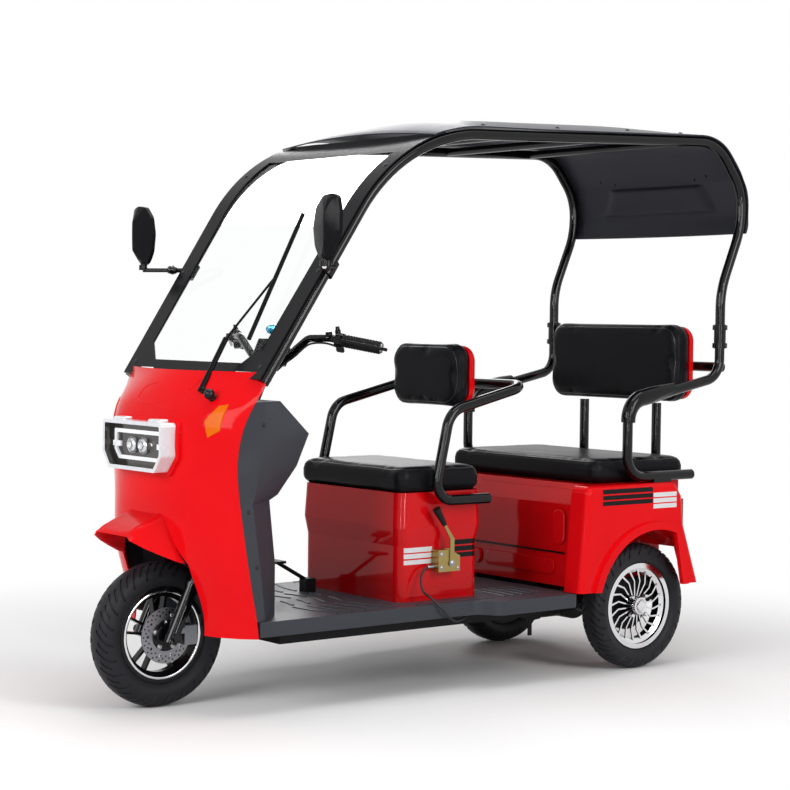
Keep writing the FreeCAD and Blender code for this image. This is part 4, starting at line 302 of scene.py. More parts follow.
def node_copy(node: str) -> Form:
    """A merged copy of a CAD node's mesh."""
    bm = bmesh.new()
    bm.from_mesh(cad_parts[node].data)
    bmesh.ops.remove_doubles(bm, verts=bm.verts[:], dist=2e-5)
    bmesh.ops.dissolve_degenerate(bm, edges=bm.edges[:], dist=1e-6)
    return bm


def face_out(bm: Form) -> None:
    """Turn every face outward."""
    bmesh.ops.recalc_face_normals(bm, faces=bm.faces[:])


def merge_flat(bm: Form) -> None:
    """Merge facets that lie in one plane."""
    bmesh.ops.dissolve_limit(bm, angle_limit=FLAT, verts=bm.verts[:], edges=bm.edges[:])


def lathe(profile: Sequence[tuple[float, float]], steps: int, closed: bool = False) -> Form:
    """Turn a profile about the X axis.

    Args:
        profile: Places along X and radii.
        steps: Segments round the axis.
        closed: Whether the profile's last point joins its first.

    Returns:
        The turned mesh, about the origin.
    """
    bm = bmesh.new()
    verts = [bm.verts.new((x, 0.0, r)) for x, r in profile]
    pairs = list(zip(verts, verts[1:] + verts[:1])) if closed else list(zip(verts, verts[1:]))
    edges = [bm.edges.new(pair) for pair in pairs]
    bmesh.ops.spin(bm, geom=verts + edges, cent=(0, 0, 0), axis=(1, 0, 0), angle=2 * math.pi, steps=steps,
                   use_merge=True)
    bmesh.ops.remove_doubles(bm, verts=bm.verts[:], dist=1e-6)
    face_out(bm)
    return bm


def bevel(bm: Form, edges: Iterable[bmesh.types.BMEdge], width: float, segments: int) -> None:
    """Round edges.

    Args:
        bm: The mesh.
        edges: The edges to round.
        width: The bevel's width.
        segments: Its steps.
    """
    bmesh.ops.bevel(bm, geom=list(edges), offset=width, offset_type="OFFSET", segments=segments, profile=0.5,
                    affect="EDGES", clamp_overlap=True, material=-1)


def block_between(low: Vector, high: Vector) -> Form:
    """Plain block between two corners."""
    bm = bmesh.new()
    matrix = Matrix.Translation((high + low) * 0.5) @ Matrix.Diagonal((*(high - low), 1.0))
    bmesh.ops.create_cube(bm, size=1.0, matrix=matrix)
    return bm


def sweep(path: Sequence[Vector], radius: float, sides: int = 16) -> Form:
    """Round bar along a path, closed at both ends.

    Args:
        path: Points in order.
        radius: The bar's radius.
        sides: Segments round it.

    Returns:
        The bar's mesh.
    """
    bm = bmesh.new()
    frames: list[Matrix] = []
    spare = UP
    for index, point in enumerate(path):
        along = (path[min(index + 1, len(path) - 1)] - path[max(index - 1, 0)]).normalized()
        side = along.cross(spare)
        if side.length < 1e-3:
            side = along.cross(LEFT)
        side.normalize()
        spare = side.cross(along).normalized()
        turn = Matrix((side, spare, along)).transposed().to_4x4()
        frames.append(Matrix.Translation(point) @ turn)
    bmesh.ops.create_circle(bm, cap_ends=False, radius=radius, segments=sides, matrix=frames[0])
    ring = bm.edges[:]
    first = ring[:]
    for last, following in zip(frames, frames[1:]):
        grown = bmesh.ops.extrude_edge_only(bm, edges=ring)["geom"]
        verts = [item for item in grown if isinstance(item, bmesh.types.BMVert)]
        ring = [item for item in grown if isinstance(item, bmesh.types.BMEdge)
                and all(vert in verts for vert in item.verts)]
        bmesh.ops.transform(bm, matrix=following @ last.inverted(), verts=verts)
    bmesh.ops.holes_fill(bm, edges=first + ring, sides=0)
    face_out(bm)
    return bm


def join(parts: Sequence[Form]) -> Form:
    """All parts in one mesh; the others are freed."""
    whole = parts[0]
    for part in parts[1:]:
        mesh = bpy.data.meshes.new("part")
        part.to_mesh(mesh)
        part.free()
        whole.from_mesh(mesh)
        bpy.data.meshes.remove(mesh)
    return whole


def flipped(bm: Form) -> Form:
    """The same form on the vehicle's other side."""
    twin = bm.copy()
    bmesh.ops.scale(twin, vec=(-1.0, 1.0, 1.0), verts=twin.verts[:])
    bmesh.ops.reverse_faces(twin, faces=twin.faces[:])
    return twin


def both(bm: Form) -> Form:
    """A left form with its right twin."""
    return join([bm, flipped(bm)])


def curve_points(points: Sequence[Vector], steps: int = 8) -> list[Vector]:
    """Smooth line through points, as a Catmull-Rom curve."""
    line: list[Vector] = []
    for index in range(len(points) - 1):
        a = points[max(index - 1, 0)]
        b, c = points[index], points[index + 1]
        d = points[min(index + 2, len(points) - 1)]
        for step in range(steps):
            t = step / steps
            line.append(0.5 * ((2 * b) + (c - a) * t + (2 * a - 5 * b + 4 * c - d) * t * t
                               + (3 * b - a - 3 * c + d) * t ** 3))
    line.append(points[-1])
    return line


def stub(*steps: tuple[float, float]) -> list[tuple[float, float]]:
    """Profile of a solid pin: its places and radii in order, closed on the axis at both ends."""
    return [(steps[0][0], 0.0), *steps, (steps[-1][0], 0.0)]


def turned(profile: Sequence[tuple[float, float]], steps: int, start: Vector, way: Vector,
           closed: bool = False) -> Form:
    """Turn a profile and lay its axis from a point along a direction.

    Args:
        profile: Places along the axis and radii.
        steps: Segments round the axis.
        start: Where the profile's zero lies.
        way: The axis's direction.
        closed: Whether the profile's last point joins its first.

    Returns:
        The turned mesh in place.
    """
    bm = lathe(profile, steps, closed)
    turn = LEFT.rotation_difference(way.normalized()).to_matrix().to_4x4()
    bmesh.ops.transform(bm, matrix=Matrix.Translation(start) @ turn, verts=bm.verts[:])
    return bm


def bolt(place: Vector, way: Vector, radius: float = 0.005) -> Form:
    """Domed bolt head on its washer, seated at a place and facing a direction."""
    profile = [(-0.0010, 0.0), (-0.0010, 1.5 * radius), (0.0007, 1.5 * radius), (0.0010, 1.05 * radius),
               (0.45 * radius, 0.95 * radius), (0.62 * radius, 0.62 * radius), (0.66 * radius, 0.0)]
    return turned(profile, 12, place, way)


def raised(outline: Sequence[Vector], steps: Sequence[tuple[Vector, float]]) -> Form:
    """Flat outline drawn up in steps, closed at both ends.

    Args:
        outline: Corners in order.
        steps: For each step its move, and the share of its size that the outline then has.

    Returns:
        The closed form.
    """
    bm = bmesh.new()
    face = bm.faces.new([bm.verts.new(point) for point in outline])
    for move, share in steps:
        face = bmesh.ops.extrude_discrete_faces(bm, faces=[face])["faces"][0]
        middle = face.calc_center_median()
        grow = Matrix.Translation(middle + move) @ Matrix.Scale(share, 4) @ Matrix.Translation(-middle)
        bmesh.ops.transform(bm, matrix=grow, verts=face.verts[:])
    bmesh.ops.holes_fill(bm, edges=[edge for edge in bm.edges if edge.is_boundary], sides=0)
    face_out(bm)
    return bm


def rounded(middle: Vector, across: Vector, along: Vector, corner: float, steps: int = 4) -> list[Vector]:
    """Rounded rectangle's outline.

    Args:
        middle: Its middle.
        across: Half its width, as a vector.
        along: Half its height, as a vector.
        corner: Its corner radius.
        steps: Points in each corner, less one.

    Returns:
        Points in order round it.
    """
    right, up = across.normalized(), along.normalized()
    points: list[Vector] = []
    for turn, (u, v) in enumerate(((1, 1), (-1, 1), (-1, -1), (1, -1))):
        centre = middle + (across - right * corner) * u + (along - up * corner) * v
        for step in range(steps + 1):
            angle = math.pi / 2 * (turn + step / steps)
            points.append(centre + (right * math.cos(angle) + up * math.sin(angle)) * corner)
    return points


def hit(tree: BVHTree, start: Vector, way: Vector) -> tuple[Vector, Vector] | None:
    """First place and outward normal where a line meets a surface."""
    place, normal, _, _ = tree.ray_cast(start, way.normalized())
    if place is None:
        return None
    return place, normal if normal.dot(way) < 0.0 else -normal


def surface(node: str) -> BVHTree:
    """A CAD node's surface for finding places on it."""
    bm = node_copy(node)
    tree = BVHTree.FromBMesh(bm)
    bm.free()
    return tree


def bolts_on(tree: BVHTree, shots: Iterable[tuple[Vector, Vector]], radius: float) -> list[Form]:
    """Bolts on a surface, where shots from a point along a direction meet it."""
    spots = [hit(tree, start, way) for start, way in shots]
    return [bolt(*spot, radius) for spot in spots if spot]


def bead(tree: BVHTree, line: Sequence[Vector], way: Vector, radius: float,
         sink: float = 0.4) -> Form:
    """Fine bead that follows a surface.

    Args:
        tree: The surface.
        line: Points ahead of the surface, in order.
        way: Direction from the points to the surface.
        radius: The bead's radius.
        sink: How far its middle lies under the surface, as a share of the radius.

    Returns:
        The bead's mesh.
    """
    spots = [hit(tree, point, way) for point in line]
    return sweep([spot[0] - spot[1] * radius * sink for spot in spots if spot], radius, 8)


def soften(bm: Form, width: float) -> None:
    """Merge the flat facets of a closed mesh and round the edges between the rest by a width."""
    merge_flat(bm)
    least = math.radians(20.0)
    edges = [edge for edge in bm.edges if len(edge.link_faces) == 2 and edge.calc_face_angle(0.0) > least]
    bevel(bm, edges, width, 3)


def relax(bm: Form, cell: float, rounds: int, pinned: float = 78.0, most_cuts: int = 7) -> None:
    """Turn a faceted thin moulding into soft folds, with its rims kept.

    Args:
        bm: The closed mesh.
        cell: Longest edge that stays whole before smoothing.
        rounds: Passes of smoothing.
        pinned: Angle in degrees from which an edge is a rim that stays.
        most_cuts: How often an edge may be halved.
    """
    merge_flat(bm)
    bmesh.ops.triangulate(bm, faces=bm.faces[:])
    limit = math.radians(pinned)
    for edge in bm.edges:
        edge.seam = len(edge.link_faces) != 2 or edge.calc_face_angle(0.0) > limit
    for _ in range(most_cuts):
        long = [edge for edge in bm.edges if edge.calc_length() > cell]
        if not long:
            break
        bmesh.ops.subdivide_edges(bm, edges=long, cuts=1)
        bmesh.ops.triangulate(bm, faces=bm.faces[:])
    free = [vert for vert in bm.verts if not any(edge.seam for edge in vert.link_edges)]
    for _ in range(rounds):
        bmesh.ops.smooth_vert(bm, verts=free, factor=0.5, use_axis_x=True, use_axis_y=True, use_axis_z=True)
    for edge in bm.edges:
        edge.seam = False


# Sub-assemblies of the vehicle


@dataclass
class KeptNodes:
    """CAD nodes shown as they are packed, or as a smooth copy of themselves."""

    plain: dict[str, Finish] = field(default_factory=lambda: {
        "main_frame": SATIN_BLACK, "battery": BLACK_PLASTIC, "rear_axle": SATIN_BLACK,
        "leaf_springs": SATIN_BLACK,
    })
    smooth: dict[str, tuple[Finish, str, str, float]] = field(default_factory=lambda: {
        "footboard": (GREY_PLASTIC, "chassis", "dark_plastic", 30.0),
        "front_fairing": (RED_PAINT, "chassis", "red_body", 40.0),
        "front_mudguard": (RED_PAINT, "chassis", "red_body", 30.0),
        "front_signals": (AMBER, "chassis", "amber_lens", 40.0),
        "inner_shield": (GREY_PLASTIC, "chassis", "dark_plastic", 25.0),
        "roof_frame": (BLACK_PAINT, "chassis", "tube_paint", 40.0),
        "roof_panel": (ROOF_PLASTIC, "chassis", "black_plastic", 40.0),
        "windscreen_frame": (BLACK_PLASTIC, "chassis", "black_plastic", 30.0),
        "windscreen_glass": (CLEAR, "chassis", "clear_sheet", 30.0),
        "wiper": (BLACK_PLASTIC, "chassis", "black_plastic", 40.0),
        "front_arm_loop": (BLACK_PAINT, "chassis", "tube_paint", 40.0),
        "front_backrest_cover": (RED_PAINT, "chassis", "red_body", 40.0),
        "brake_pedal": (SATIN_BLACK, "chassis", "frame_paint", 30.0),
        # The passenger box's red is darkened as painted shade.
        "rear_box": (BOX_RED_SHADED, "chassis", "red_steel", 25.0),
        "rear_backrest_cover": (RED_PAINT, "chassis", "red_body", 40.0),
        "rear_arm_frame": (BLACK_PAINT, "chassis", "tube_paint", 40.0),
        "tail_lamps": (RED_LENS, "chassis", "red_lens", 30.0),
        "fork": (BLACK_PAINT, "steering", "tube_paint", 35.0),
        "brake_caliper": (CAST_ALLOY, "steering", "cast_alloy", 30.0),
        "handlebar": (BLACK_PAINT, "steering", "tube_paint", 40.0),
        "grips_and_levers": (GLOSS_BLACK, "steering", "grip_rubber", 35.0),
        "instrument_pod": (BLACK_PLASTIC, "steering", "black_plastic", 35.0),
        "brake_disc": (DISC_STEEL, "front_wheel", "steel", 30.0),
    })
    rounded_edges: dict[str, float] = field(default_factory=lambda: {
        "inner_shield": 0.005, "brake_caliper": 0.003, "footboard": 0.003,
    })
    level_edges: dict[str, float] = field(default_factory=lambda: {"rear_box": 7.0})
    mudguard_cell: float = 0.006
    mudguard_rounds: int = 36
    wing_wall: tuple[float, float] = (0.0030, 0.0056)
    wing_turn: tuple[float, float] = (0.35, 2.2)
    wing_corner: float = 0.026

    def round_wings(self, bm: Form) -> None:
        """Round the inner shield's outline where its wall turns a corner."""
        merge_flat(bm)
        (thin, thick), (least, most) = self.wing_wall, self.wing_turn
        corners = [edge for edge in bm.edges if thin < edge.calc_length() < thick
                   and len(edge.link_faces) == 2 and least < edge.calc_face_angle(0.0) < most]
        bevel(bm, corners, self.wing_corner, 6)

    def dress(self) -> None:
        """Give every kept node its finish, and the curved ones a smooth skin."""
        for node, finish in self.plain.items():
            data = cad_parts[node].data
            data.materials.clear()
            data.materials.append(finish.material())
        for node, (finish, body, slot, crisp) in self.smooth.items():
            bm = node_copy(node)
            if node == "inner_shield":
                self.round_wings(bm)
            if node == "front_mudguard":
                relax(bm, self.mudguard_cell, self.mudguard_rounds)
            if node in self.rounded_edges:
                soften(bm, self.rounded_edges[node])
            finish_piece(node + "_skin", bm, [finish], body, [node], crisp, self.level_edges.get(node))


@dataclass
class Wheel:
    """One wheel: tyre with a cut tread, and its rim's painted and machined faces."""

    name: str
    body: str
    tyre_node: str
    rim_node: str
    rim_slot: str
    hub: Point
    radius: float
    outward: float
    repeats: int = 24
    half_width: float = 0.042
    bead_radius: float = 0.1373
    bead_x: float = 0.0247
    groove: float = 0.0035
    columns: int = 6
    tread_from: float = 0.5
    plain_middle: float = 0.12
    long_end: float = 0.99
    short_groove: tuple[float, float] = (0.7, 0.96)
    rim_edge: float = 0.1325
    bright_spokes: bool = True

    def profile(self) -> list[tuple[float, float]]:
        """Closed outer line of the tyre's section."""
        rise = self.radius - self.bead_radius
        shares = ((0.62, 0.02), (0.80, 0.10), (0.815, 0.135), (0.90, 0.19), (0.985, 0.34), (1.0, 0.45),
                  (0.985, 0.58), (0.93, 0.72), (0.83, 0.84), (0.66, 0.925), (0.44, 0.972), (0.22, 0.993))
        half = [(self.half_width * u, self.bead_radius + rise * v) for u, v in shares]
        outer = half + [(0.0, self.radius)] + [(-x, r) for x, r in reversed(half)]
        foot = self.bead_radius - 0.0095
        return [(self.bead_x, foot)] + outer + [(-self.bead_x, foot)]

    def in_groove(self, place: Vector) -> bool:
        """Whether a face's middle lies in one of the tread's long or short grooves."""
        turn = math.atan2(place.y, place.z) / (2 * math.pi) * self.repeats * self.columns
        column = int(math.floor(turn + self.repeats * self.columns)) % self.columns
        if place.x > 0:
            column = (column + self.columns // 2) % self.columns
        share = (math.hypot(place.y, place.z) - self.bead_radius) / (self.radius - self.bead_radius)
        if share < self.tread_from or abs(place.x) < self.plain_middle * self.half_width:
            return False
        near, far = self.short_groove
        return column == 0 and share < self.long_end or column == self.columns // 2 and near < share < far

    def tyre(self) -> None:
        """Tyre with curved grooves cut over both shoulders."""
        bm = lathe(self.profile(), self.repeats * self.columns, closed=True)
        cut = [face for face in bm.faces if self.in_groove(face.calc_center_median())]
        core = 0.5 * (self.radius + self.bead_radius)
        grown = bmesh.ops.extrude_face_region(bm, geom=cut)["geom"]
        bmesh.ops.delete(bm, geom=cut, context="FACES")
        for vert in (item for item in grown if isinstance(item, bmesh.types.BMVert)):
            inward = 1 - core / math.hypot(vert.co.y, vert.co.z)
            vert.co -= Vector((vert.co.x, vert.co.y * inward, vert.co.z * inward)).normalized() * self.groove
        for vert in bm.verts:
            across = abs(vert.co.x) / self.half_width
            drop = self.radius - math.hypot(vert.co.y, vert.co.z)
            lean = 0.20 * across ** 1.5 + 1.4 * drop * (1 if drop > 0.012 else 0.6)
            vert.co = Matrix.Rotation(lean * (1 if vert.co.x > 0 else 0.9), 3, "X") @ vert.co
        face_out(bm)
        bmesh.ops.translate(bm, vec=at(*self.hub), verts=bm.verts[:])
        finish_piece(self.name + "_tyre_tread", bm, [TYRE_RUBBER], self.body,
                     [self.tyre_node], 32.0)

    def rim(self) -> None:
        """Rim with bright outward faces over black."""
        bm = node_copy(self.rim_node)
        middle = at(*self.hub)
        for face in bm.faces:
            place = face.calc_center_median() - middle
            reach = math.hypot(place.y, place.z)
            facing = face.normal.x * self.outward
            lip = reach > self.rim_edge and facing > -0.2
            face.material_index = 1 if lip or (self.bright_spokes and facing > 0.75 and reach > 0.02) else 0
        finish_piece(self.name + "_rim_faces", bm, [RIM_BLACK, MACHINED], self.body,
                     [self.rim_node], 30.0)

    def lip(self) -> None:
        """Thin bright lip turned on the outer face of a black rim."""
        hub, way = at(*self.hub), LEFT * self.outward
        found = hit(surface(self.rim_node), hub + way * 0.3 + UP * 0.1235, -way)
        x = abs(found[0].x - hub.x)
        ring = turned([(x - 0.003, 0.1205), (x + 0.0006, 0.1207), (x + 0.0016, 0.1225), (x + 0.0016, 0.1250),
                       (x + 0.0006, 0.1272), (x - 0.003, 0.1274)], 96, hub, way, closed=True)
        finish_piece(self.name + "_rim_lip", ring, [MACHINED], self.body)

    def make(self) -> None:
        """Build the wheel's pieces."""
        self.tyre()
        self.rim()
        if not self.bright_spokes:
            self.lip()


@dataclass
class Pad:
    """Padded cushion blown up from its CAD block, with a sewn edge line."""

    name: str
    node: str
    body: str
    up: Point
    shrink: float = 0.004
    corner: float = 0.045
    edge: float = 0.018
    cap: float = 0.010
    side_give: float = 0.4
    seam_share: float = 0.74
    fill: float = 0.7
    cell: float = 0.006
    pressure: float = 4.0
    frames: int = 20
    seam_depth: float = 0.0022
    seam_width: float = 0.0035
    seat_lift: float = 0.0006
    top_rise: float = 0.008
    welt_in: float = 0.013
    welt_radius: float = 0.0022

    def block(self) -> Form:
        """Slightly smaller start shape with round corners in plan and a softer top edge."""
        low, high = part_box(self.node)
        inset = Vector((self.shrink,) * 3)
        bm = block_between(low + inset, high - inset)
        up = Vector(self.up)
        posts = [e for e in bm.edges if abs((e.verts[0].co - e.verts[1].co).normalized().dot(up)) > 0.9]
        bevel(bm, posts, self.corner, 6)
        face_out(bm)
        rims = [e for e in bm.edges if len(e.link_faces) == 2 and e.calc_face_angle(0.0) > 1.2]
        bevel(bm, rims, self.edge, 4)
        return bm

    def swell(self, piece: bpy.types.Object) -> None:
        """Blow the pad up by cloth pressure and keep each point within the cap."""
        mesh = piece.data
        start = [v.co.copy() for v in mesh.vertices]
        cloth = piece.modifiers.new("fill", "CLOTH")
        cloth.settings.use_pressure = True
        cloth.settings.uniform_pressure_force = self.pressure
        cloth.settings.effector_weights.gravity = 0.0
        scene = bpy.context.scene
        for number in range(1, self.frames + 1):
            scene.frame_set(number)
        shaped = piece.evaluated_get(bpy.context.evaluated_depsgraph_get()).to_mesh()
        places = [v.co.copy() for v in shaped.vertices]
        piece.to_mesh_clear()
        piece.modifiers.remove(cloth)
        scene.frame_set(1)
        up = Vector(self.up)
        for vert, old, new in zip(mesh.vertices, start, places):
            step = new - old
            if step.length > self.cap:
                step *= self.cap / step.length
            rise = up * step.dot(up)
            vert.co = old + rise + (step - rise) * self.side_give

    def sew(self, piece: bpy.types.Object) -> None:
        """Press the seam line round the side and keep the seated face flat."""
        low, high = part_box(self.node)
        up = Vector(self.up)
        base = min(low.dot(up), high.dot(up))
        top = max(low.dot(up), high.dot(up))
        line = base + self.seam_share * (top - base)
        middle = (low + high) * 0.5
        for vert in piece.data.vertices:
            height = vert.co.dot(up)
            pull = self.seam_depth * math.exp(-((height - line) / self.seam_width) ** 2)
            out = vert.co - middle
            out -= up * out.dot(up)
            if out.length > 1e-4:
                vert.co -= out.normalized() * pull
            height = vert.co.dot(up)
            if height < base + self.seat_lift:
                vert.co += up * (base + self.seat_lift - height)
            height = vert.co.dot(up)
            if height > top + self.top_rise:
                vert.co -= up * (height - top - self.top_rise)

    def welt(self, piece: bpy.types.Object) -> None:
        """Sewn welt that runs round the upper face near its edge."""
        places = [vert.co for vert in piece.data.vertices]
        low = Vector([min(place[axis] for place in places) for axis in range(3)])
        high = Vector([max(place[axis] for place in places) for axis in range(3)])
        up = Vector(self.up)
        middle, half = (low + high) * 0.5, (high - low) * 0.5
        deep = abs(half.dot(up))
        across = LEFT * (half.x - self.welt_in)
        along = REAR * (half.y - self.welt_in) if abs(up.z) > 0.5 else UP * (half.z - self.welt_in)
        ring = rounded(middle + up * (deep + 0.1), across, along, max(self.corner - 0.006, 0.02), 8)
        ring = ring + ring[:2]
        line: list[Vector] = []
        for first, second in zip(ring, ring[1:]):
            steps = max(1, round((second - first).length / 0.02))
            line += [first.lerp(second, step / steps) for step in range(steps)]
        bm = bmesh.new()
        bm.from_mesh(piece.data)
        tree = BVHTree.FromBMesh(bm)
        bm.free()
        finish_piece(self.name + "_welt", bead(tree, line, -up, self.welt_radius, 0.25), [WELT], self.body)

    def make(self) -> bpy.types.Object:
        bm = self.block()
        mesh = bpy.data.meshes.new(self.name)
        bm.to_mesh(mesh)
        bm.free()
        mesh.materials.append(LEATHERETTE.material())
        piece = bpy.data.objects.new(self.name, mesh)
        show(piece)
        remesh = piece.modifiers.new("cells", "REMESH")
        remesh.mode = "VOXEL"
        remesh.voxel_size = self.cell
        shaped = piece.evaluated_get(bpy.context.evaluated_depsgraph_get())
        cells = bpy.data.meshes.new_from_object(shaped)
        piece.modifiers.clear()
        piece.data = cells
        self.swell(piece)
        self.sew(piece)
        for polygon in piece.data.polygons:
            polygon.use_smooth = True
        ease = piece.modifiers.new("ease", "SUBSURF")
        ease.levels = ease.render_levels = 1
        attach(piece, self.body)
        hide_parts(self.node)
        self.welt(piece)
        LOG.info("%s: %d faces", self.name, len(piece.data.polygons))
        return piece


@dataclass(frozen=True)
class Band:
    """One painted stripe: its reach along Y and Z on both sides, and its finish."""

    front: float
    rear: float
    low: float
    high: float
    finish: Finish


def stripes(front: float, rear: float, finish: Finish, *levels: tuple[float, float]) -> tuple[Band, ...]:
    """Stripes of one finish over one reach, each from a low to a high edge."""
    return tuple(Band(front, rear, low, high, finish) for low, high in levels)


@dataclass
class StripedPanel:
    """Red panel with stripes painted on both its sides."""

    node: str
    slot: str
    least_x: float
    crisp: float
    bands: tuple[Band, ...]
    paint: Finish = RED_PAINT

    def make(self) -> None:
        """Cut the stripes' edges into a copy of the panel and paint between them."""
        bm = node_copy(self.node)
        for band in self.bands:
            for place, way in ((band.front, (0, 1, 0)), (band.rear, (0, 1, 0)), (band.low, (0, 0, 1)),
                               (band.high, (0, 0, 1))):
                point = at(0.0, place, 0.0) if way[1] else Vector((0.0, 0.0, place))
                bmesh.ops.bisect_plane(bm, geom=bm.verts[:] + bm.edges[:] + bm.faces[:], plane_co=point,
                                       plane_no=way, dist=1e-6)
        finishes = [self.paint]
        for band in self.bands:
            if band.finish not in finishes:
                finishes.append(band.finish)
            index = finishes.index(band.finish)
            for face in bm.faces:
                middle = face.calc_center_median()
                place = middle.y - AXLE_Y
                outward = face.normal.x * (1.0 if middle.x > 0.0 else -1.0)
                if (outward > 0.35 and abs(middle.x) > self.least_x and band.front < place < band.rear
                        and band.low < middle.z < band.high):
                    face.material_index = index
        finish_piece(self.node + "_painted", bm, finishes, "chassis", [self.node], self.crisp, 7.0)


@dataclass
class Headlamp:
    """Silver lamp shell with a smoked recess, a daylight ring and two projector lamps."""

    floor_y: float = -0.060
    middle_z: float = 0.748
    cad_lens_x: float = 0.0193
    cad_lens_radius: float = 0.0195
    lens_x: float = 0.0300
    lens_radius: float = 0.0235

    def shell(self) -> None:
        """Shell's outside in silver, its recess smoked."""
        bm = node_copy("headlamp_housing")
        for face in bm.faces:
            middle = face.calc_center_median()
            inward = face.normal.x * middle.x + face.normal.z * (middle.z - self.middle_z) < -1e-4
            floor = face.normal.y < -0.9 and middle.y - AXLE_Y > self.floor_y - 0.01
            if floor or (abs(face.normal.y) < 0.5 and inward and middle.y - AXLE_Y < self.floor_y + 0.004):
                face.material_index = 1
        finish_piece("headlamp_shell", bm, [SILVER, SMOKED], "chassis",
                     ["headlamp_housing"])

    def tabs(self) -> None:
        """Two silver shoulders on the shell's top, ahead of the socket."""
        pieces = []
        for x in (0.094, -0.094):
            outline = rounded(at(x, -0.050, 0.8165), LEFT * 0.030, REAR * 0.028, 0.008)
            pieces.append(raised(outline, [(UP * 0.006, 1.0), (UP * 0.0035, 0.86)]))
        finish_piece("headlamp_shoulders", join(pieces), [SILVER], "chassis")

    def lights(self) -> None:
        """Ring in white, two wide projector lamps in lens glass, with their bright collars."""
        bm = node_copy("headlamp_lights")
        lamps = [face for face in bm.faces
                 if math.hypot(abs(face.calc_center_median().x) - self.cad_lens_x,
                               face.calc_center_median().z - self.middle_z) < self.cad_lens_radius + 0.001]
        bmesh.ops.delete(bm, geom=lamps, context="FACES")
        for face in bm.faces:
            face.material_index = 0
        r = self.lens_radius
        glasses, collars = [], []
        for side in SIDES:
            seat = at(side * self.lens_x, self.floor_y - 0.0005, self.middle_z)
            dome = [(-0.004, 0.0), (-0.004, r - 0.0035), (0.007, r - 0.0035)]
            dome += [(0.007 + 0.010 * math.sin(math.pi * k / 16), (r - 0.0035) * math.cos(math.pi * k / 16))
                     for k in range(1, 8)] + [(0.017, 0.0)]
            glasses.append(turned(dome, 40, seat, AHEAD))
            for reach, out in ((r, 0.0095), (0.55 * r, 0.0172)):
                profile = [(0.0, reach), (out, reach), (out + 0.0018, reach - 0.0012), (out, reach - 0.0025),
                           (0.0, reach - 0.0025)]
                collars.append(turned(profile, 40, seat, AHEAD, closed=True))
        finish_piece("headlamp_ring", bm, [LAMP_WHITE], "chassis", ["headlamp_lights"])
        finish_piece("headlamp_lenses", join(glasses), [LENS], "chassis", ["headlamp_lights"])
        finish_piece("headlamp_collars", join(collars), [CHROME], "chassis")

    def make(self) -> None:
        """Build the headlamp's pieces."""
        self.shell()
        self.tabs()
        self.lights()


@dataclass
class CowlTrim:
    """Fine forms on the cowl and screen: pressed lines, washer ball and bolts."""

    washer: Point = (0.234, 0.030, 0.889)
    wiper: Point = (0.185, 0.02, 0.906)

    def lines(self) -> None:
        """Pressed line left of the wiper and round form about its spindle."""
        skin = surface("front_fairing")
        corners = [at(-0.010, -0.4, 0.925), at(-0.066, -0.4, 0.912), at(-0.078, -0.4, 0.893),
                   at(-0.070, -0.4, 0.874), at(0.030, -0.4, 0.862), at(0.128, -0.4, 0.852)]
        line = bead(skin, curve_points(corners, 8), REAR, 0.0023)
        ring = []
        for step in range(15):
            angle = math.radians(95 + step * 9)
            ring.append(at(self.wiper[0] + 0.042 * math.cos(angle), -0.4,
                           self.wiper[2] + 0.042 * math.sin(angle)))
        finish_piece("cowl_pressed_lines", join([line, bead(skin, ring, REAR, 0.0020)]), [RED_PAINT],
                     "chassis")

    def washer_ball(self) -> None:
        """Round washer jet beside the wiper's spindle."""
        skin = surface("front_fairing")
        place, normal = hit(skin, at(self.washer[0], -0.4, self.washer[2]), REAR)
        foot = turned(stub((-0.002, 0.012), (0.004, 0.012), (0.006, 0.010)), 24, place, normal)
        r = 0.0155
        ball = [(0.004 + r - r * math.cos(math.pi * k / 12),
                 r * math.sin(math.pi * k / 12)) for k in range(13)]
        jet = turned(stub((0.0, 0.0016), (0.004, 0.0016)), 10, place + normal * (0.003 + 2 * r),
                     normal + UP * 0.4)
        finish_piece("washer_jet", join([foot, turned(ball, 24, place, normal), jet]), [GLOSS_BLACK],
                     "chassis")

    def screen_bolts(self) -> None:
        """Bolts through the windscreen's surround."""
        way = Vector((0.0, 0.83, -0.55))
        shots = [(at(side * x, y, z) - way * 0.3, way)
                 for x, y, z in ((0.330, 0.10, 0.990), (0.352, 0.30, 1.245), (0.354, 0.52, 1.560),
                                 (0.20, 0.09, 0.957), (0.0, 0.08, 0.957))
                 for side in (SIDES if x else SIDES[:1])]
        heads = bolts_on(surface("windscreen_frame"), shots, 0.0048)
        finish_piece("screen_bolts", join(heads), [BOLT_STEEL], "chassis")

    def shield_bolts(self) -> None:
        """Small bolts on the inner shield's sides."""
        shots = [(at(side * 0.6, y, z), LEFT * -side)
                 for y, z in ((0.135, 0.815), (0.095, 0.575), (0.125, 0.42)) for side in SIDES]
        heads = bolts_on(surface("inner_shield"), shots, 0.0042)
        finish_piece("shield_bolts", join(heads), [BOLT_STEEL], "chassis")

    def make(self) -> None:
        """Build the cowl's fine pieces."""
        self.lines()
        self.washer_ball()
        self.screen_bolts()
        self.shield_bolts()


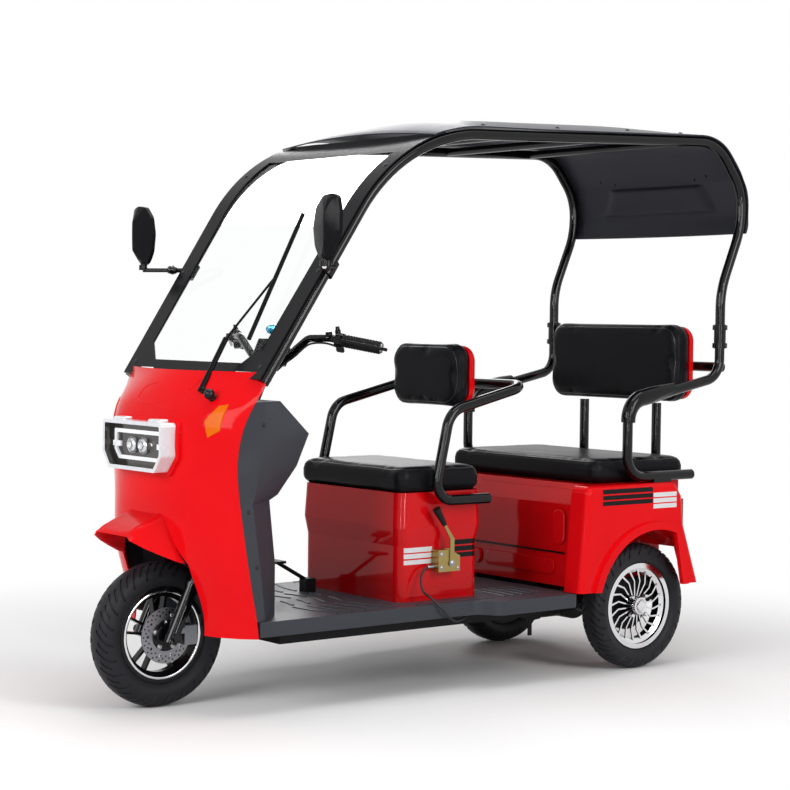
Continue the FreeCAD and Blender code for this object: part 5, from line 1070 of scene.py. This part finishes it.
@dataclass
class Mirrors:
    """Pair of mirrors: tapered heads with a crease, silvered faces, stalks and clamps."""

    x: float = 0.478
    y: float = 0.232
    low: float = 1.270
    high: float = 1.452
    half_width: float = 0.060
    depth: float = 0.034

    def head(self) -> Form:
        """Left head: angular outline, faceted back with a ridge, and rimmed glass."""
        shares = ((-0.30, 0.0), (0.12, 0.0), (0.60, 0.14), (1.0, 0.42), (1.04, 0.72), (0.86, 0.95),
                  (0.45, 1.0), (-0.25, 0.975), (-0.80, 0.80), (-1.0, 0.52), (-0.86, 0.22), (-0.55, 0.06))
        outline = [at(self.x + u * self.half_width, self.y + 0.35 * self.depth,
                      self.low + v * (self.high - self.low)) for u, v in reversed(shares)]
        d = self.depth
        bm = raised(outline, [(Vector((0, -0.34 * d, 0)), 1.0)])
        back = min(bm.faces, key=lambda face: face.normal.y * face.calc_area())
        corners = [edge for edge in bm.edges if abs((edge.verts[0].co - edge.verts[1].co).y) > 0.3 * 0.34 * d]
        for reach, across, along, shift in ((0.36, 0.52, 0.80, 0.10), (0.34, 0.10, 0.62, 0.22)):
            back = bmesh.ops.extrude_discrete_faces(bm, faces=[back])["faces"][0]
            middle = back.calc_center_median()
            scale = Matrix.Diagonal((across, 1.0, along, 1.0))
            move = Matrix.Translation(middle + Vector((shift * self.half_width, -reach * d, 0.0)))
            bmesh.ops.transform(bm, matrix=move @ scale @ Matrix.Translation(-middle), verts=back.verts[:])
        bevel(bm, [edge for edge in corners if edge.is_valid], 0.008, 3)
        glass = max(bm.faces, key=lambda face: face.normal.y * face.calc_area())
        bmesh.ops.inset_individual(bm, faces=[glass], thickness=0.0045, depth=0.0)
        bmesh.ops.inset_individual(bm, faces=[glass], thickness=0.0015, depth=-0.0025)
        face_out(bm)
        glass.material_index = 1
        return bm

    def make(self) -> None:
        """Heads with the stalks and clamps of the CAD node."""
        head = self.head()
        finish_piece("mirror_heads", both(head), [BLACK_PLASTIC, MIRROR_GLASS], "chassis",
                     ["mirrors"], 16.0)
        arms = node_copy("mirrors")
        upper = [face for face in arms.faces if face.calc_center_median().z > self.low - 0.0008]
        bmesh.ops.delete(arms, geom=upper, context="FACES")
        heads = []
        for side in SIDES:
            heads.append(turned(stub((0.0, 0.0085), (0.010, 0.0085), (0.013, 0.0055)), 16,
                                at(side * (self.x - 0.0052), self.y, self.low - 0.006), UP))
            heads.append(bolt(at(side * 0.409, 0.300, 1.262), Vector((side, -0.6, 0.2)), 0.005))
            heads.append(turned(stub((-0.012, 0.009), (-0.008, 0.012), (0.008, 0.012), (0.012, 0.009)), 20,
                                at(side * 0.400, 0.289, 1.254), Vector((side * 0.2, -1, 0.3))))
        finish_piece("mirror_arms", join([arms] + heads), [GLOSS_BLACK], "chassis",
                     ["mirrors"])


@dataclass
class Controls:
    """Handlebar dressing: ribbed grips, switches, lever perches, meter and lock knob."""

    grip_start: Point = (0.2714, 0.4486, 1.0484)
    grip_end: Point = (0.3513, 0.5245, 1.0286)
    grip_radius: float = 0.0171
    meter: Point = (0.0, 0.4050, 1.0335)
    ribs: int = 11
    cable_radius: float = 0.0030
    cable_run: tuple[Point, ...] = ((0.262, 0.437, 1.030), (0.236, 0.416, 1.040), (0.196, 0.402, 1.040),
                                    (0.165, 0.394, 1.030), (0.120, 0.388, 1.001), (0.080, 0.380, 0.978),
                                    (0.050, 0.374, 0.957))

    def grip_line(self, side: float) -> tuple[Vector, Vector]:
        """Where one side's grip starts, and where it ends."""
        start, end = (at(side * x, y, z) for x, y, z in (self.grip_start, self.grip_end))
        return start, end

    def sleeve(self) -> list[tuple[float, float]]:
        """Profile of the ribbed grip over the CAD grip."""
        length = (Vector(self.grip_end) - Vector(self.grip_start)).length
        r, step = self.grip_radius, (length - 0.022) / self.ribs
        profile = [(-0.0005, 0.012), (-0.0005, r + 0.003), (0.004, r + 0.003), (0.0055, r + 0.0005)]
        for index in range(self.ribs):
            start = 0.010 + index * (length - 0.022) / self.ribs
            profile += [(start, r + 0.0004), (start + 0.25 * step, r + 0.0018),
                        (start + 0.65 * step, r + 0.0018), (start + 0.9 * step, r + 0.0004)]
        return stub(*profile, (length - 0.009, r + 0.0015), (length - 0.0005, r + 0.0012))

    def grips(self) -> None:
        """Rubber sleeves and bright bar ends."""
        sleeves, ends = [], []
        cap = stub((-0.002, 0.0155), (0.003, 0.0155), (0.0055, 0.013), (0.0055, 0.006), (0.003, 0.005))
        for side in SIDES:
            start, end = self.grip_line(side)
            sleeves.append(turned(self.sleeve(), 28, start, end - start))
            ends.append(turned(cap, 24, end, end - start))
        finish_piece("grip_sleeves", join(sleeves), [GRIP_RUBBER], "steering")
        finish_piece("bar_ends", join(ends), [STEEL], "steering")

    def perches(self) -> None:
        """Mirror bosses, switch buttons and cable run on each side of the bar."""
        bosses, buttons, cables = [], [], []
        up = Vector((0.0, -0.15, 1.0)).normalized()
        knob = stub((0.0, 0.0085), (0.014, 0.0085), (0.016, 0.0065), (0.024, 0.0060), (0.026, 0.004))
        clamp = stub((0.0, 0.010), (0.010, 0.010), (0.013, 0.007))
        button = stub((0.0, 0.0032), (0.0028, 0.0032), (0.0036, 0.0022))
        for side in SIDES:
            start, end = self.grip_line(side)
            along = (end - start).normalized()
            bosses.append(turned(knob, 16, start - along * 0.012 + up * 0.014, up))
            bosses.append(turned(clamp, 16, start - along * 0.040 + up * 0.006, up))
            outline = rounded(start - along * 0.011 - up * 0.016, along * 0.011,
                              up.cross(along) * 0.012, 0.004)
            bosses.append(raised(outline, [(-up * 0.016, 1.0), (-up * 0.003, 0.85)]))
            back = up.cross(along) * side
            for shift, high in ((-0.016, 0.0012), (-0.008, 0.0016)):
                place = start + along * shift + back * 0.0205
                buttons.append(turned(button, 12, place + up * high, back))
            line = curve_points([at(side * x, y, z) for x, y, z in self.cable_run], 6)
            cables.append(sweep(line, self.cable_radius, 10))
        finish_piece("bar_perches", join(bosses), [GLOSS_BLACK], "steering")
        finish_piece("switch_buttons", join(buttons), [SILVER], "steering")
        finish_piece("bar_cables", join(cables), [CABLE_JACKET], "steering")

    def meter_face(self) -> None:
        """Meter glass in its frame on the pod, and the blue key knob on its stem."""
        up, back = Vector((0.0, 0.4226, 0.9063)), Vector((0.0, 0.9063, -0.4226))
        pod = surface("instrument_pod")
        found = hit(pod, at(*self.meter) + up * 0.2, -up)
        middle = found[0]
        frame_line = rounded(middle - up * 0.001, LEFT * 0.038, back * 0.031, 0.008)
        bezel = raised(frame_line, [(up * 0.004, 1.0), (up * 0.0012, 0.95)])
        glass = raised(rounded(middle + up * 0.0036, LEFT * 0.032, back * 0.025, 0.005),
                       [(up * 0.0012, 0.98)])
        finish_piece("meter_frame", bezel, [GLOSS_BLACK], "steering")
        finish_piece("meter_glass", glass, [RIM_BLACK], "steering")
        side = hit(pod, at(-0.030, 0.330, 1.3), DOWN)
        seat = side[0] if side else middle
        rise = Vector((-0.12, -0.22, 1.0)).normalized()
        stem = turned(stub((-0.004, 0.009), (0.002, 0.009), (0.004, 0.0055), (0.028, 0.0055),
                           (0.030, 0.008), (0.034, 0.008)), 20, seat, rise)
        knob = turned([(0.034, 0.0), (0.034, 0.010), (0.040, 0.017), (0.048, 0.019), (0.056, 0.017),
                       (0.060, 0.010), (0.061, 0.0)], 9, seat, rise)
        finish_piece("key_stem", stem, [CHROME], "steering")
        finish_piece("key_knob", knob, [BLUE_KNOB], "steering")

    def make(self) -> None:
        """Build the handlebar's dressing."""
        self.grips()
        self.perches()
        self.meter_face()


@dataclass
class ParkingBrake:
    """Zinc-plated bracket and lever, dark tapered grip, bolts and cable ferrule."""

    lever_x: float = 0.2783
    middle: tuple[float, float] = (0.852, 0.388)
    grip_foot: tuple[float, float] = (0.8308, 0.4969)
    grip_tip: tuple[float, float] = (0.7969, 0.5467)

    def make(self) -> None:
        """Dress the CAD node and add its fittings."""
        bm = node_copy("parking_brake")
        foot, tip = at(self.lever_x + 0.002, *self.grip_foot), at(self.lever_x + 0.002, *self.grip_tip)
        along = tip - foot
        for face in bm.faces:
            if (face.calc_center_median() - foot).dot(along) > 0.0:
                face.material_index = 1
        for vert in bm.verts:
            share = (vert.co - foot).dot(along) / along.length_squared
            if share > -0.03:
                centre = foot + along * share
                out = vert.co - centre
                vert.co = centre + out * (0.66 + 0.46 * min(max(share, 0.0), 1.0))
        finish_piece("parking_brake_plated", bm, [ZINC, GRIP_RUBBER], "chassis", ["parking_brake"],
                     30.0)
        y, z = self.middle
        heads = [bolt(at(self.lever_x + lift, y + along_y, z + along_z), LEFT, radius) for lift, along_y,
                 along_z, radius in ((0.0, -0.030, -0.020, 0.0045), (0.0, -0.030, 0.020, 0.0045),
                                     (0.0, 0.034, -0.024, 0.0040), (0.004, 0.008, -0.008, 0.0070))]
        ferrule = turned(stub((-0.002, 0.0070), (0.006, 0.0070), (0.006, 0.0052), (0.026, 0.0052),
                              (0.028, 0.0040)), 20, at(0.261, y - 0.042, z - 0.0165), AHEAD)
        finish_piece("parking_brake_bolts", join(heads + [ferrule]), [STEEL], "chassis")


@dataclass
class FloorTread:
    """Raised ribs on the footboard: curved ones ahead, a row on the rear step."""

    top: float = 0.268
    radius: float = 0.0056
    flatness: float = 0.62

    def rib(self, side: float, *points: tuple[float, float]) -> Form:
        """One low rib through points of the floor's plan, which are given for the left side."""
        line = curve_points([at(side * x, y, self.top) for x, y in points], 5)
        bm = sweep(line, self.radius, 10)
        for vert in bm.verts:
            vert.co.z = self.top - 0.0004 + (vert.co.z - self.top) * self.flatness
        return bm

    def make(self) -> None:
        """Build every rib."""
        ribs = []
        for side in SIDES:
            for y in (0.385 + 0.052 * index for index in range(5)):
                ribs.append(self.rib(side, (0.300, y + 0.030), (0.250, y + 0.012), (0.195, y - 0.002),
                                     (0.140, y - 0.008)))
            for y in (0.400 + 0.060 * index for index in range(4)):
                ribs.append(self.rib(side, (0.105, y), (0.060, y + 0.012), (0.020, y + 0.018)))
            for y in (1.055 + 0.036 * index for index in range(5)):
                ribs.append(self.rib(side, (0.305, y), (0.225, y + 0.004), (0.150, y + 0.004)))
            ribs.append(self.rib(side, (0.312, 0.700), (0.312, 0.850), (0.312, 1.000)))
        finish_piece("floor_ribs", join(ribs), [GREY_PLASTIC], "chassis")


@dataclass
class RearBoxFront:
    """Pressed forms on the passenger box's front: fine grooves, a panel gap and two raised fields."""

    front: float = 1.283

    def make(self) -> None:
        """Build the grooves and fields."""
        # Grooves and fields take the box red, darkened as painted shade.
        skin = surface("rear_box")
        grooves, fields = [], []
        for line in ([(-0.30, 0.583), (0.0, 0.583), (0.30, 0.583)], [(-0.315, 0.560), (-0.315, 0.430)],
                     [(0.315, 0.560), (0.315, 0.530)]):
            points = curve_points([at(x, 1.1, z) for x, z in line], 8)
            grooves.append(bead(skin, points, REAR, 0.0014, 0.55))
        finish_piece("rear_box_grooves", join(grooves), [BOX_RED_SHADED], "chassis")
        gap = raised([at(x, self.front - 0.0006, z) for x, z in ((-0.322, 0.3835), (0.322, 0.3835),
                                                                 (0.322, 0.3895), (-0.322, 0.3895))],
                     [(REAR * 0.0012, 1.0)])
        finish_piece("rear_box_gap", gap, [BLACK_STRIPE], "chassis")
        for middle, across, along, corner in (((0.115, 0.340), 0.165, 0.024, 0.020),
                                              ((-0.180, 0.340), 0.110, 0.024, 0.020)):
            outline = rounded(at(middle[0], self.front + 0.001, middle[1]), Vector((across, 0, 0)),
                              Vector((0, 0, along)), corner, 6)
            fields.append(raised(outline, [(REAR * -0.0030, 1.0), (REAR * -0.0022, 0.975),
                                           (REAR * -0.0006, 0.95)]))
        outline = rounded(at(0.297, self.front + 0.001, 0.468), LEFT * 0.026,
                          UP * 0.054, 0.024, 6)
        fields.append(raised(outline, [(REAR * -0.0030, 1.0), (REAR * -0.0022, 0.93)]))
        finish_piece("rear_box_fields", join(fields), [BOX_RED_SHADED], "chassis")


@dataclass
class RoofTrim:
    """Flap's pressed field with its bolts, roof bolts, slots and the coupling screws."""

    tube_x: float = 0.398

    def flap_field(self) -> None:
        """Trapezoid field pressed inward on the flap, with four bolts."""
        skin = surface("roof_panel")
        bm = bmesh.new()
        bmesh.ops.create_grid(bm, x_segments=40, y_segments=16, size=0.5)
        for vert in bm.verts:
            u, v = vert.co.x, vert.co.y + 0.5
            half = 0.285 - 0.055 * v
            x, z = 2.0 * u * half, 1.478 + 0.098 * v
            found = hit(skin, at(x, 1.75, z), REAR)
            edge = min(1.0, min(0.5 - abs(u), v, 1.0 - v) / 0.10)
            lift = -0.0012 + 0.0112 * (edge * edge * (3.0 - 2.0 * edge))
            place, normal = found if found else (at(x, 1.98, z), AHEAD)
            vert.co = place + normal * lift
        face_out(bm)
        if sum(face.normal.y for face in bm.faces) > 0.0:
            bmesh.ops.reverse_faces(bm, faces=bm.faces[:])
        bmesh.ops.solidify(bm, geom=bm.faces[:], thickness=0.0012)
        face_out(bm)
        finish_piece("roof_flap_field", bm, [ROOF_PLASTIC], "chassis", crisp=50.0)

    def bolts(self) -> None:
        """Bolts on the flap, along the roof's edges and at its corners."""
        skin = surface("roof_panel")
        heads = bolts_on(skin, [(at(side * x, 1.6, z), REAR) for x, z in ((0.25, 1.600), (0.19, 1.590),
                                                                          (0.36,
                                                                           1.450)) for side in SIDES],
                         0.005)
        heads += bolts_on(skin, [(at(side * 0.352, y, 2.0), DOWN)
                                 for y in (0.90, 1.20, 1.50, 1.74) for side in SIDES], 0.0055)
        for side in SIDES:
            for z in (1.0368, 1.0952):
                for way in (LEFT, -LEFT):
                    heads.append(bolt(at(side * self.tube_x, 1.893, z) + way * 0.0242, way, 0.0045))
        finish_piece("roof_bolts", join(heads), [BOLT_STEEL], "chassis")

    def slots(self) -> None:
        """Long dark slots on the panel's underside, behind the windscreen."""
        skin = surface("roof_panel")
        slots = []
        for x, y, half in ((0.0, 0.86, 0.075), (0.19, 0.86, 0.055), (-0.19, 0.86, 0.055), (0.10, 1.02, 0.050),
                           (-0.10, 1.02, 0.050)):
            found = hit(skin, at(x, y, 1.3), UP)
            if not found:
                continue
            outline = []
            for point in rounded(at(x, y, 1.3), Vector((half, 0, 0)), REAR * 0.014, 0.0135, 6):
                spot = hit(skin, point, UP)
                outline.append(spot[0] + UP * 0.0008)
            slots.append(raised(outline, [(UP * -0.0022, 1.0)]))
        finish_piece("roof_slots", join(slots), [RIM_BLACK], "chassis")

    def make(self) -> None:
        """Build the roof's fine pieces."""
        self.flap_field()
        self.bolts()
        self.slots()


@dataclass
class HubCaps:
    """Silver caps with nuts on the rear wheels, and the plugs in the arm loop's open ends."""

    hub_y: float = 1.586
    hub_z: float = 0.201

    def make(self) -> None:
        """Build the caps and plugs."""
        for side, sign in (("left", 1.0), ("right", -1.0)):
            way = Vector((sign, 0, 0))
            found = hit(surface("rear_rim_" + side), at(sign * 0.6, self.hub_y, self.hub_z + 0.024), -way)
            centre = Vector((found[0].x, self.hub_y + AXLE_Y, self.hub_z))
            cap = turned(stub((-0.010, 0.030), (0.004, 0.030), (0.009, 0.0275), (0.010, 0.0225),
                              (0.008, 0.0205), (0.008, 0.018), (0.012, 0.016), (0.013, 0.008)), 36, centre,
                         way)
            nuts = []
            for index in range(4):
                angle = math.pi / 4 + index * math.pi / 2
                spot = centre + Vector((sign * 0.001, 0.042 * math.cos(angle), 0.042 * math.sin(angle)))
                nuts.append(turned(stub((-0.012, 0.0062), (0.003, 0.0062), (0.005, 0.0045)), 6, spot, way))
            finish_piece("rear_hub_cap_" + side, join([cap] + nuts), [MACHINED], "rear_wheel_" + side)
        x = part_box("front_arm_loop")[1].x - 0.016
        plugs = [turned(stub((-0.004, 0.0125), (0.0004, 0.0125)), 20, at(s * x, 0.993, 0.571),
                        REAR) for s in SIDES]
        finish_piece("arm_tube_plugs", join(plugs), [RIM_BLACK], "chassis")


@dataclass
class FrontBrake:
    """Disc's drilled rows, black carrier and bolts, axle nuts and the caliper's bolts."""

    hub_z: float = 0.2075
    holes: int = 20

    def make(self) -> None:
        """Build the brake's fine pieces."""
        low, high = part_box("brake_disc")
        face_x = high.x
        reach = 0.5 * (high.z - low.z)
        drilled, carrier, bolts = [], [], []
        for share, start in ((0.74, 0.0), (0.83, 0.5), (0.92, 0.0)):
            for index in range(self.holes):
                angle = 2 * math.pi * (index + start) / self.holes
                place = Vector((face_x, AXLE_Y + share * reach * math.cos(angle),
                                self.hub_z + share * reach * math.sin(angle)))
                drilled.append(turned(stub((-0.0008, 0.0026), (0.0003, 0.0026)), 10, place, LEFT))
        hub = Vector((face_x, AXLE_Y, self.hub_z))
        carrier.append(turned(stub((-0.002, 0.56 * reach), (0.0012, 0.56 * reach), (0.0020, 0.54 * reach),
                                   (0.0020, 0.40 * reach), (0.0050, 0.36 * reach), (0.0060, 0.20 * reach)),
                              48, hub, LEFT))
        for index in range(5):
            angle = 2 * math.pi * (index + 0.25) / 5
            way = Vector((0.0, math.cos(angle), math.sin(angle)))
            bolts.append(bolt(hub + LEFT * 0.0020 + way * 0.47 * reach, LEFT, 0.0052))
        finish_piece("disc_holes", join(drilled), [RIM_BLACK], "front_wheel")
        finish_piece("disc_carrier", join(carrier), [RIM_BLACK], "front_wheel")
        finish_piece("disc_bolts", join(bolts), [STEEL], "front_wheel")


@dataclass
class BrakeCable:
    """Parking brake's cable in its jacket: out of the ferrule, down in a bow and under the floor's edge."""

    radius: float = 0.0035
    route: tuple[Point, ...] = ((0.261, 0.812, 0.3715), (0.261, 0.782, 0.3700), (0.2650, 0.7600, 0.3560),
                                (0.2720, 0.7480, 0.3300), (0.2880, 0.7450, 0.3030), (0.3200, 0.7500, 0.2860),
                                (0.3420, 0.7660, 0.2620), (0.3440, 0.7900, 0.2360), (0.3360, 0.8280, 0.2140),
                                (0.3150, 0.8720, 0.2130), (0.2900, 0.9100, 0.2150))

    def make(self) -> None:
        """Build the cable."""
        line = curve_points([at(*point) for point in self.route], 8)
        finish_piece("parking_brake_cable_jacket", sweep(line, self.radius, 14), [CABLE_JACKET], "chassis",
                     ["parking_brake_cable"])


@dataclass
class ArmPads:
    """Rear armrest pads: full in the middle, thinned to their ends on the tube."""

    swell: float = 0.0085

    def make(self) -> None:
        """Build both pads from the CAD sleeves."""
        bm = node_copy("armrest_pads")
        bmesh.ops.subdivide_edges(bm, edges=[edge for edge in bm.edges if edge.calc_length() > 0.02], cuts=2,
                                  use_grid_fill=True)
        bm.normal_update()
        low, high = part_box("armrest_pads")
        moves = []
        for vert in bm.verts:
            share = (vert.co.y - low.y) / (high.y - low.y)
            full = math.sin(math.pi * min(max(share, 0.0), 1.0)) ** 0.7
            top = 0.55 + 0.45 * max(0.0, vert.normal.z)
            moves.append(vert.normal * self.swell * full * top)
        for vert, move in zip(bm.verts, moves):
            vert.co += move
        finish_piece("armrest_pads_full", bm, [GLOSS_BLACK], "chassis", ["armrest_pads"], 50.0)


# Camera, floor and lamps


@dataclass(frozen=True)
class Lamp:
    """Soft rectangular lamp: its middle, the point it faces, its width and height, and its power."""

    name: str
    place: Point
    target: Point
    size: tuple[float, float]
    watts: float
    shine_only: bool = False

    def hang(self) -> None:
        """Put the lamp in the scene; one that is for shine alone shows only in highlights."""
        data = bpy.data.lights.new(self.name, "AREA")
        data.shape = "RECTANGLE"
        data.size, data.size_y = self.size
        data.energy = self.watts
        lamp = bpy.data.objects.new(self.name, data)
        aim = Vector(self.target) - Vector(self.place)
        lamp.matrix_world = Matrix.Translation(self.place) @ aim.to_track_quat("-Z", "Y").to_matrix().to_4x4()
        lamp.visible_diffuse = not self.shine_only
        show(lamp)


@dataclass
class Studio:
    """Camera at the photograph's view, plain floor and soft lights."""

    place: Point = (4.898, -3.020, 1.119)
    azimuth: float = 51.64
    elevation: float = 2.23
    roll: float = 0.65
    lens: float = 91.65
    sky: float = 0.26
    fade: tuple[float, float] = (1.2, 2.7)
    lamps: tuple[Lamp, ...] = (
        Lamp("key", (0.7, -4.2, 2.1), (0.0, -0.6, 0.7), (1.9, 1.5), 82.0),
        Lamp("side", (4.3, 0.6, 2.5), (0.0, 0.2, 0.8), (1.6, 2.4), 86.0),
        Lamp("top", (0.3, 0.2, 4.4), (0.0, 0.1, 0.0), (3.0, 3.0), 95.0),
        Lamp("rim", (-3.4, 2.2, 2.6), (0.0, 0.4, 0.9), (1.4, 2.2), 34.0),
        Lamp("front_strip", (2.9, -3.1, 1.5), (0.0, -0.6, 0.7), (0.10, 2.2), 38.0, shine_only=True),
        Lamp("side_strip", (4.3, -0.9, 1.7), (0.0, 0.1, 0.8), (0.10, 2.4), 42.0, shine_only=True),
    )

    def camera(self) -> None:
        """Camera with the photograph's place, turn and lens."""
        azimuth, elevation, roll = (math.radians(v) for v in (self.azimuth, self.elevation, self.roll))
        back = Vector((math.sin(azimuth) * math.cos(elevation), -math.cos(azimuth) * math.cos(elevation),
                       math.sin(elevation)))
        right = UP.cross(back).normalized()
        level = Matrix((right, back.cross(right), back)).transposed()
        data = bpy.data.cameras.new("camera")
        data.lens = self.lens
        data.sensor_width = 36.0
        data.clip_end = 60.0
        camera = bpy.data.objects.new("camera", data)
        turn = (level @ Matrix.Rotation(roll, 3, "Z")).to_4x4()
        camera.matrix_world = Matrix.Translation(at(*self.place)) @ turn
        show(camera)
        bpy.context.scene.camera = camera

    def seen(self, tree: bpy.types.NodeTree) -> bpy.types.NodeSocket:
        """Socket that is 1 for rays from the camera, through clear sheet or off a glossy surface."""
        path = tree.nodes.new("ShaderNodeLightPath")
        socket = path.outputs["Is Camera Ray"]
        for kind in ("Is Transmission Ray", "Is Glossy Ray"):
            larger = tree.nodes.new("ShaderNodeMath")
            larger.operation = "MAXIMUM"
            tree.links.new(socket, larger.inputs[0])
            tree.links.new(path.outputs[kind], larger.inputs[1])
            socket = larger.outputs[0]
        return socket

    def world(self) -> None:
        """Even grey sky that looks white to the camera and in reflections."""
        world = bpy.data.worlds.new("studio")
        world.use_nodes = True
        nodes, links = world.node_tree.nodes, world.node_tree.links
        nodes.clear()
        mix, leave = nodes.new("ShaderNodeMixShader"), nodes.new("ShaderNodeOutputWorld")
        links.new(self.seen(world.node_tree), mix.inputs[0])
        for strength, entry in ((self.sky, mix.inputs[1]), (1.0, mix.inputs[2])):
            light = nodes.new("ShaderNodeBackground")
            light.inputs["Color"].default_value = (1.0, 1.0, 1.0, 1.0)
            light.inputs["Strength"].default_value = strength
            links.new(light.outputs[0], entry)
        links.new(mix.outputs[0], leave.inputs["Surface"])
        bpy.context.scene.world = world

    def floor_material(self) -> bpy.types.Material:
        """Pale floor that turns into plain white away from the vehicle."""
        material = bpy.data.materials.new("studio_floor")
        material.use_nodes = True
        nodes, links = material.node_tree.nodes, material.node_tree.links
        shader = nodes["Principled BSDF"]
        shader.inputs["Base Color"].default_value = (0.93, 0.93, 0.93, 1.0)
        shader.inputs["Roughness"].default_value = 0.9
        place = nodes.new("ShaderNodeTexCoord").outputs["Object"]
        reach = nodes.new("ShaderNodeVectorMath")
        reach.operation = "LENGTH"
        links.new(place, reach.inputs[0])
        fade = nodes.new("ShaderNodeMapRange")
        fade.interpolation_type = "SMOOTHSTEP"
        fade.inputs["From Min"].default_value, fade.inputs["From Max"].default_value = self.fade
        links.new(reach.outputs["Value"], fade.inputs["Value"])
        share = nodes.new("ShaderNodeMath")
        share.operation = "MULTIPLY"
        links.new(fade.outputs["Result"], share.inputs[0])
        links.new(self.seen(material.node_tree), share.inputs[1])
        white = nodes.new("ShaderNodeEmission")
        white.inputs["Strength"].default_value = 1.0
        mix = nodes.new("ShaderNodeMixShader")
        for source, entry in zip((share, shader, white), mix.inputs):
            links.new(source.outputs[0], entry)
        links.new(mix.outputs[0], nodes["Material Output"].inputs["Surface"])
        return material

    def floor(self) -> None:
        """Wide plain floor."""
        bm = bmesh.new()
        bmesh.ops.create_grid(bm, x_segments=1, y_segments=1, size=20.0)
        mesh = bpy.data.meshes.new("studio_floor")
        bm.to_mesh(mesh)
        bm.free()
        mesh.materials.append(self.floor_material())
        floor = bpy.data.objects.new("studio_floor", mesh)
        show(floor)

    def make(self) -> None:
        """Set the whole studio up."""
        self.camera()
        self.world()
        self.floor()
        for lamp in self.lamps:
            lamp.hang()
        bpy.context.scene.view_settings.view_transform = "Standard"


def main() -> None:
    """Build the vehicle's looks in order."""
    logging.basicConfig(level=logging.INFO, format="%(name)s: %(message)s")
    Studio().make()
    KeptNodes().dress()
    Wheel("front", "front_wheel", "front_tyre", "front_rim", "cast_black", (0.0, 0.0, 0.2075), 0.2075, 1.0,
          bright_spokes=False).make()
    for side, sign in (("left", 1.0), ("right", -1.0)):
        Wheel("rear_" + side, "rear_wheel_" + side, "rear_tyre_" + side, "rear_rim_" + side, "chrome_rim",
              (0.322 * sign, 1.586, 0.201), 0.201, sign).make()
    Pad("driver_cushion", "front_cushion", "driver_lid", (0, 0, 1), corner=0.034, edge=0.020).make()
    Pad("passenger_cushion", "rear_cushion", "passenger_lid", (0, 0, 1), corner=0.034, edge=0.020).make()
    Pad("driver_back_pad", "front_backrest_pad", "chassis", (0, -1, 0), corner=0.056, edge=0.014,
        seam_share=0.62).make()
    Pad("passenger_back_pad", "rear_backrest_pad", "chassis", (0, -1, 0), corner=0.056, edge=0.016,
        seam_share=0.62).make()
    box_stripes = (
        stripes(0.7065, 0.812, WHITE_STRIPE, (0.4155, 0.4300), (0.3975, 0.4115), (0.3795, 0.3930))
        + stripes(0.880, 0.985, BLACK_STRIPE, (0.4295, 0.4450), (0.4095, 0.4250), (0.3905, 0.4055)))
    # The driver's box red is darkened as painted shade.
    StripedPanel("driver_box", "red_steel", 0.235, 20.0, box_stripes, BOX_RED_SHADED).make()
    fender_stripes = (
        stripes(1.352, 1.572, BLACK_STRIPE, (0.5745, 0.5890), (0.5560, 0.5700), (0.5380, 0.5520))
        + stripes(1.575, 1.680, WHITE_STRIPE, (0.5560, 0.5700), (0.5380, 0.5520), (0.5200, 0.5340)))
    StripedPanel("rear_fenders", "red_body", 0.300, 35.0, fender_stripes).make()
    for group in (Headlamp(), CowlTrim(), Mirrors(), Controls(), ParkingBrake(), FloorTread(), RearBoxFront(),
                  RoofTrim(), HubCaps(), FrontBrake(), BrakeCable(), ArmPads()):
        LOG.info("building %s", type(group).__name__)
        group.make()


if __name__ == "__main__":
    main()
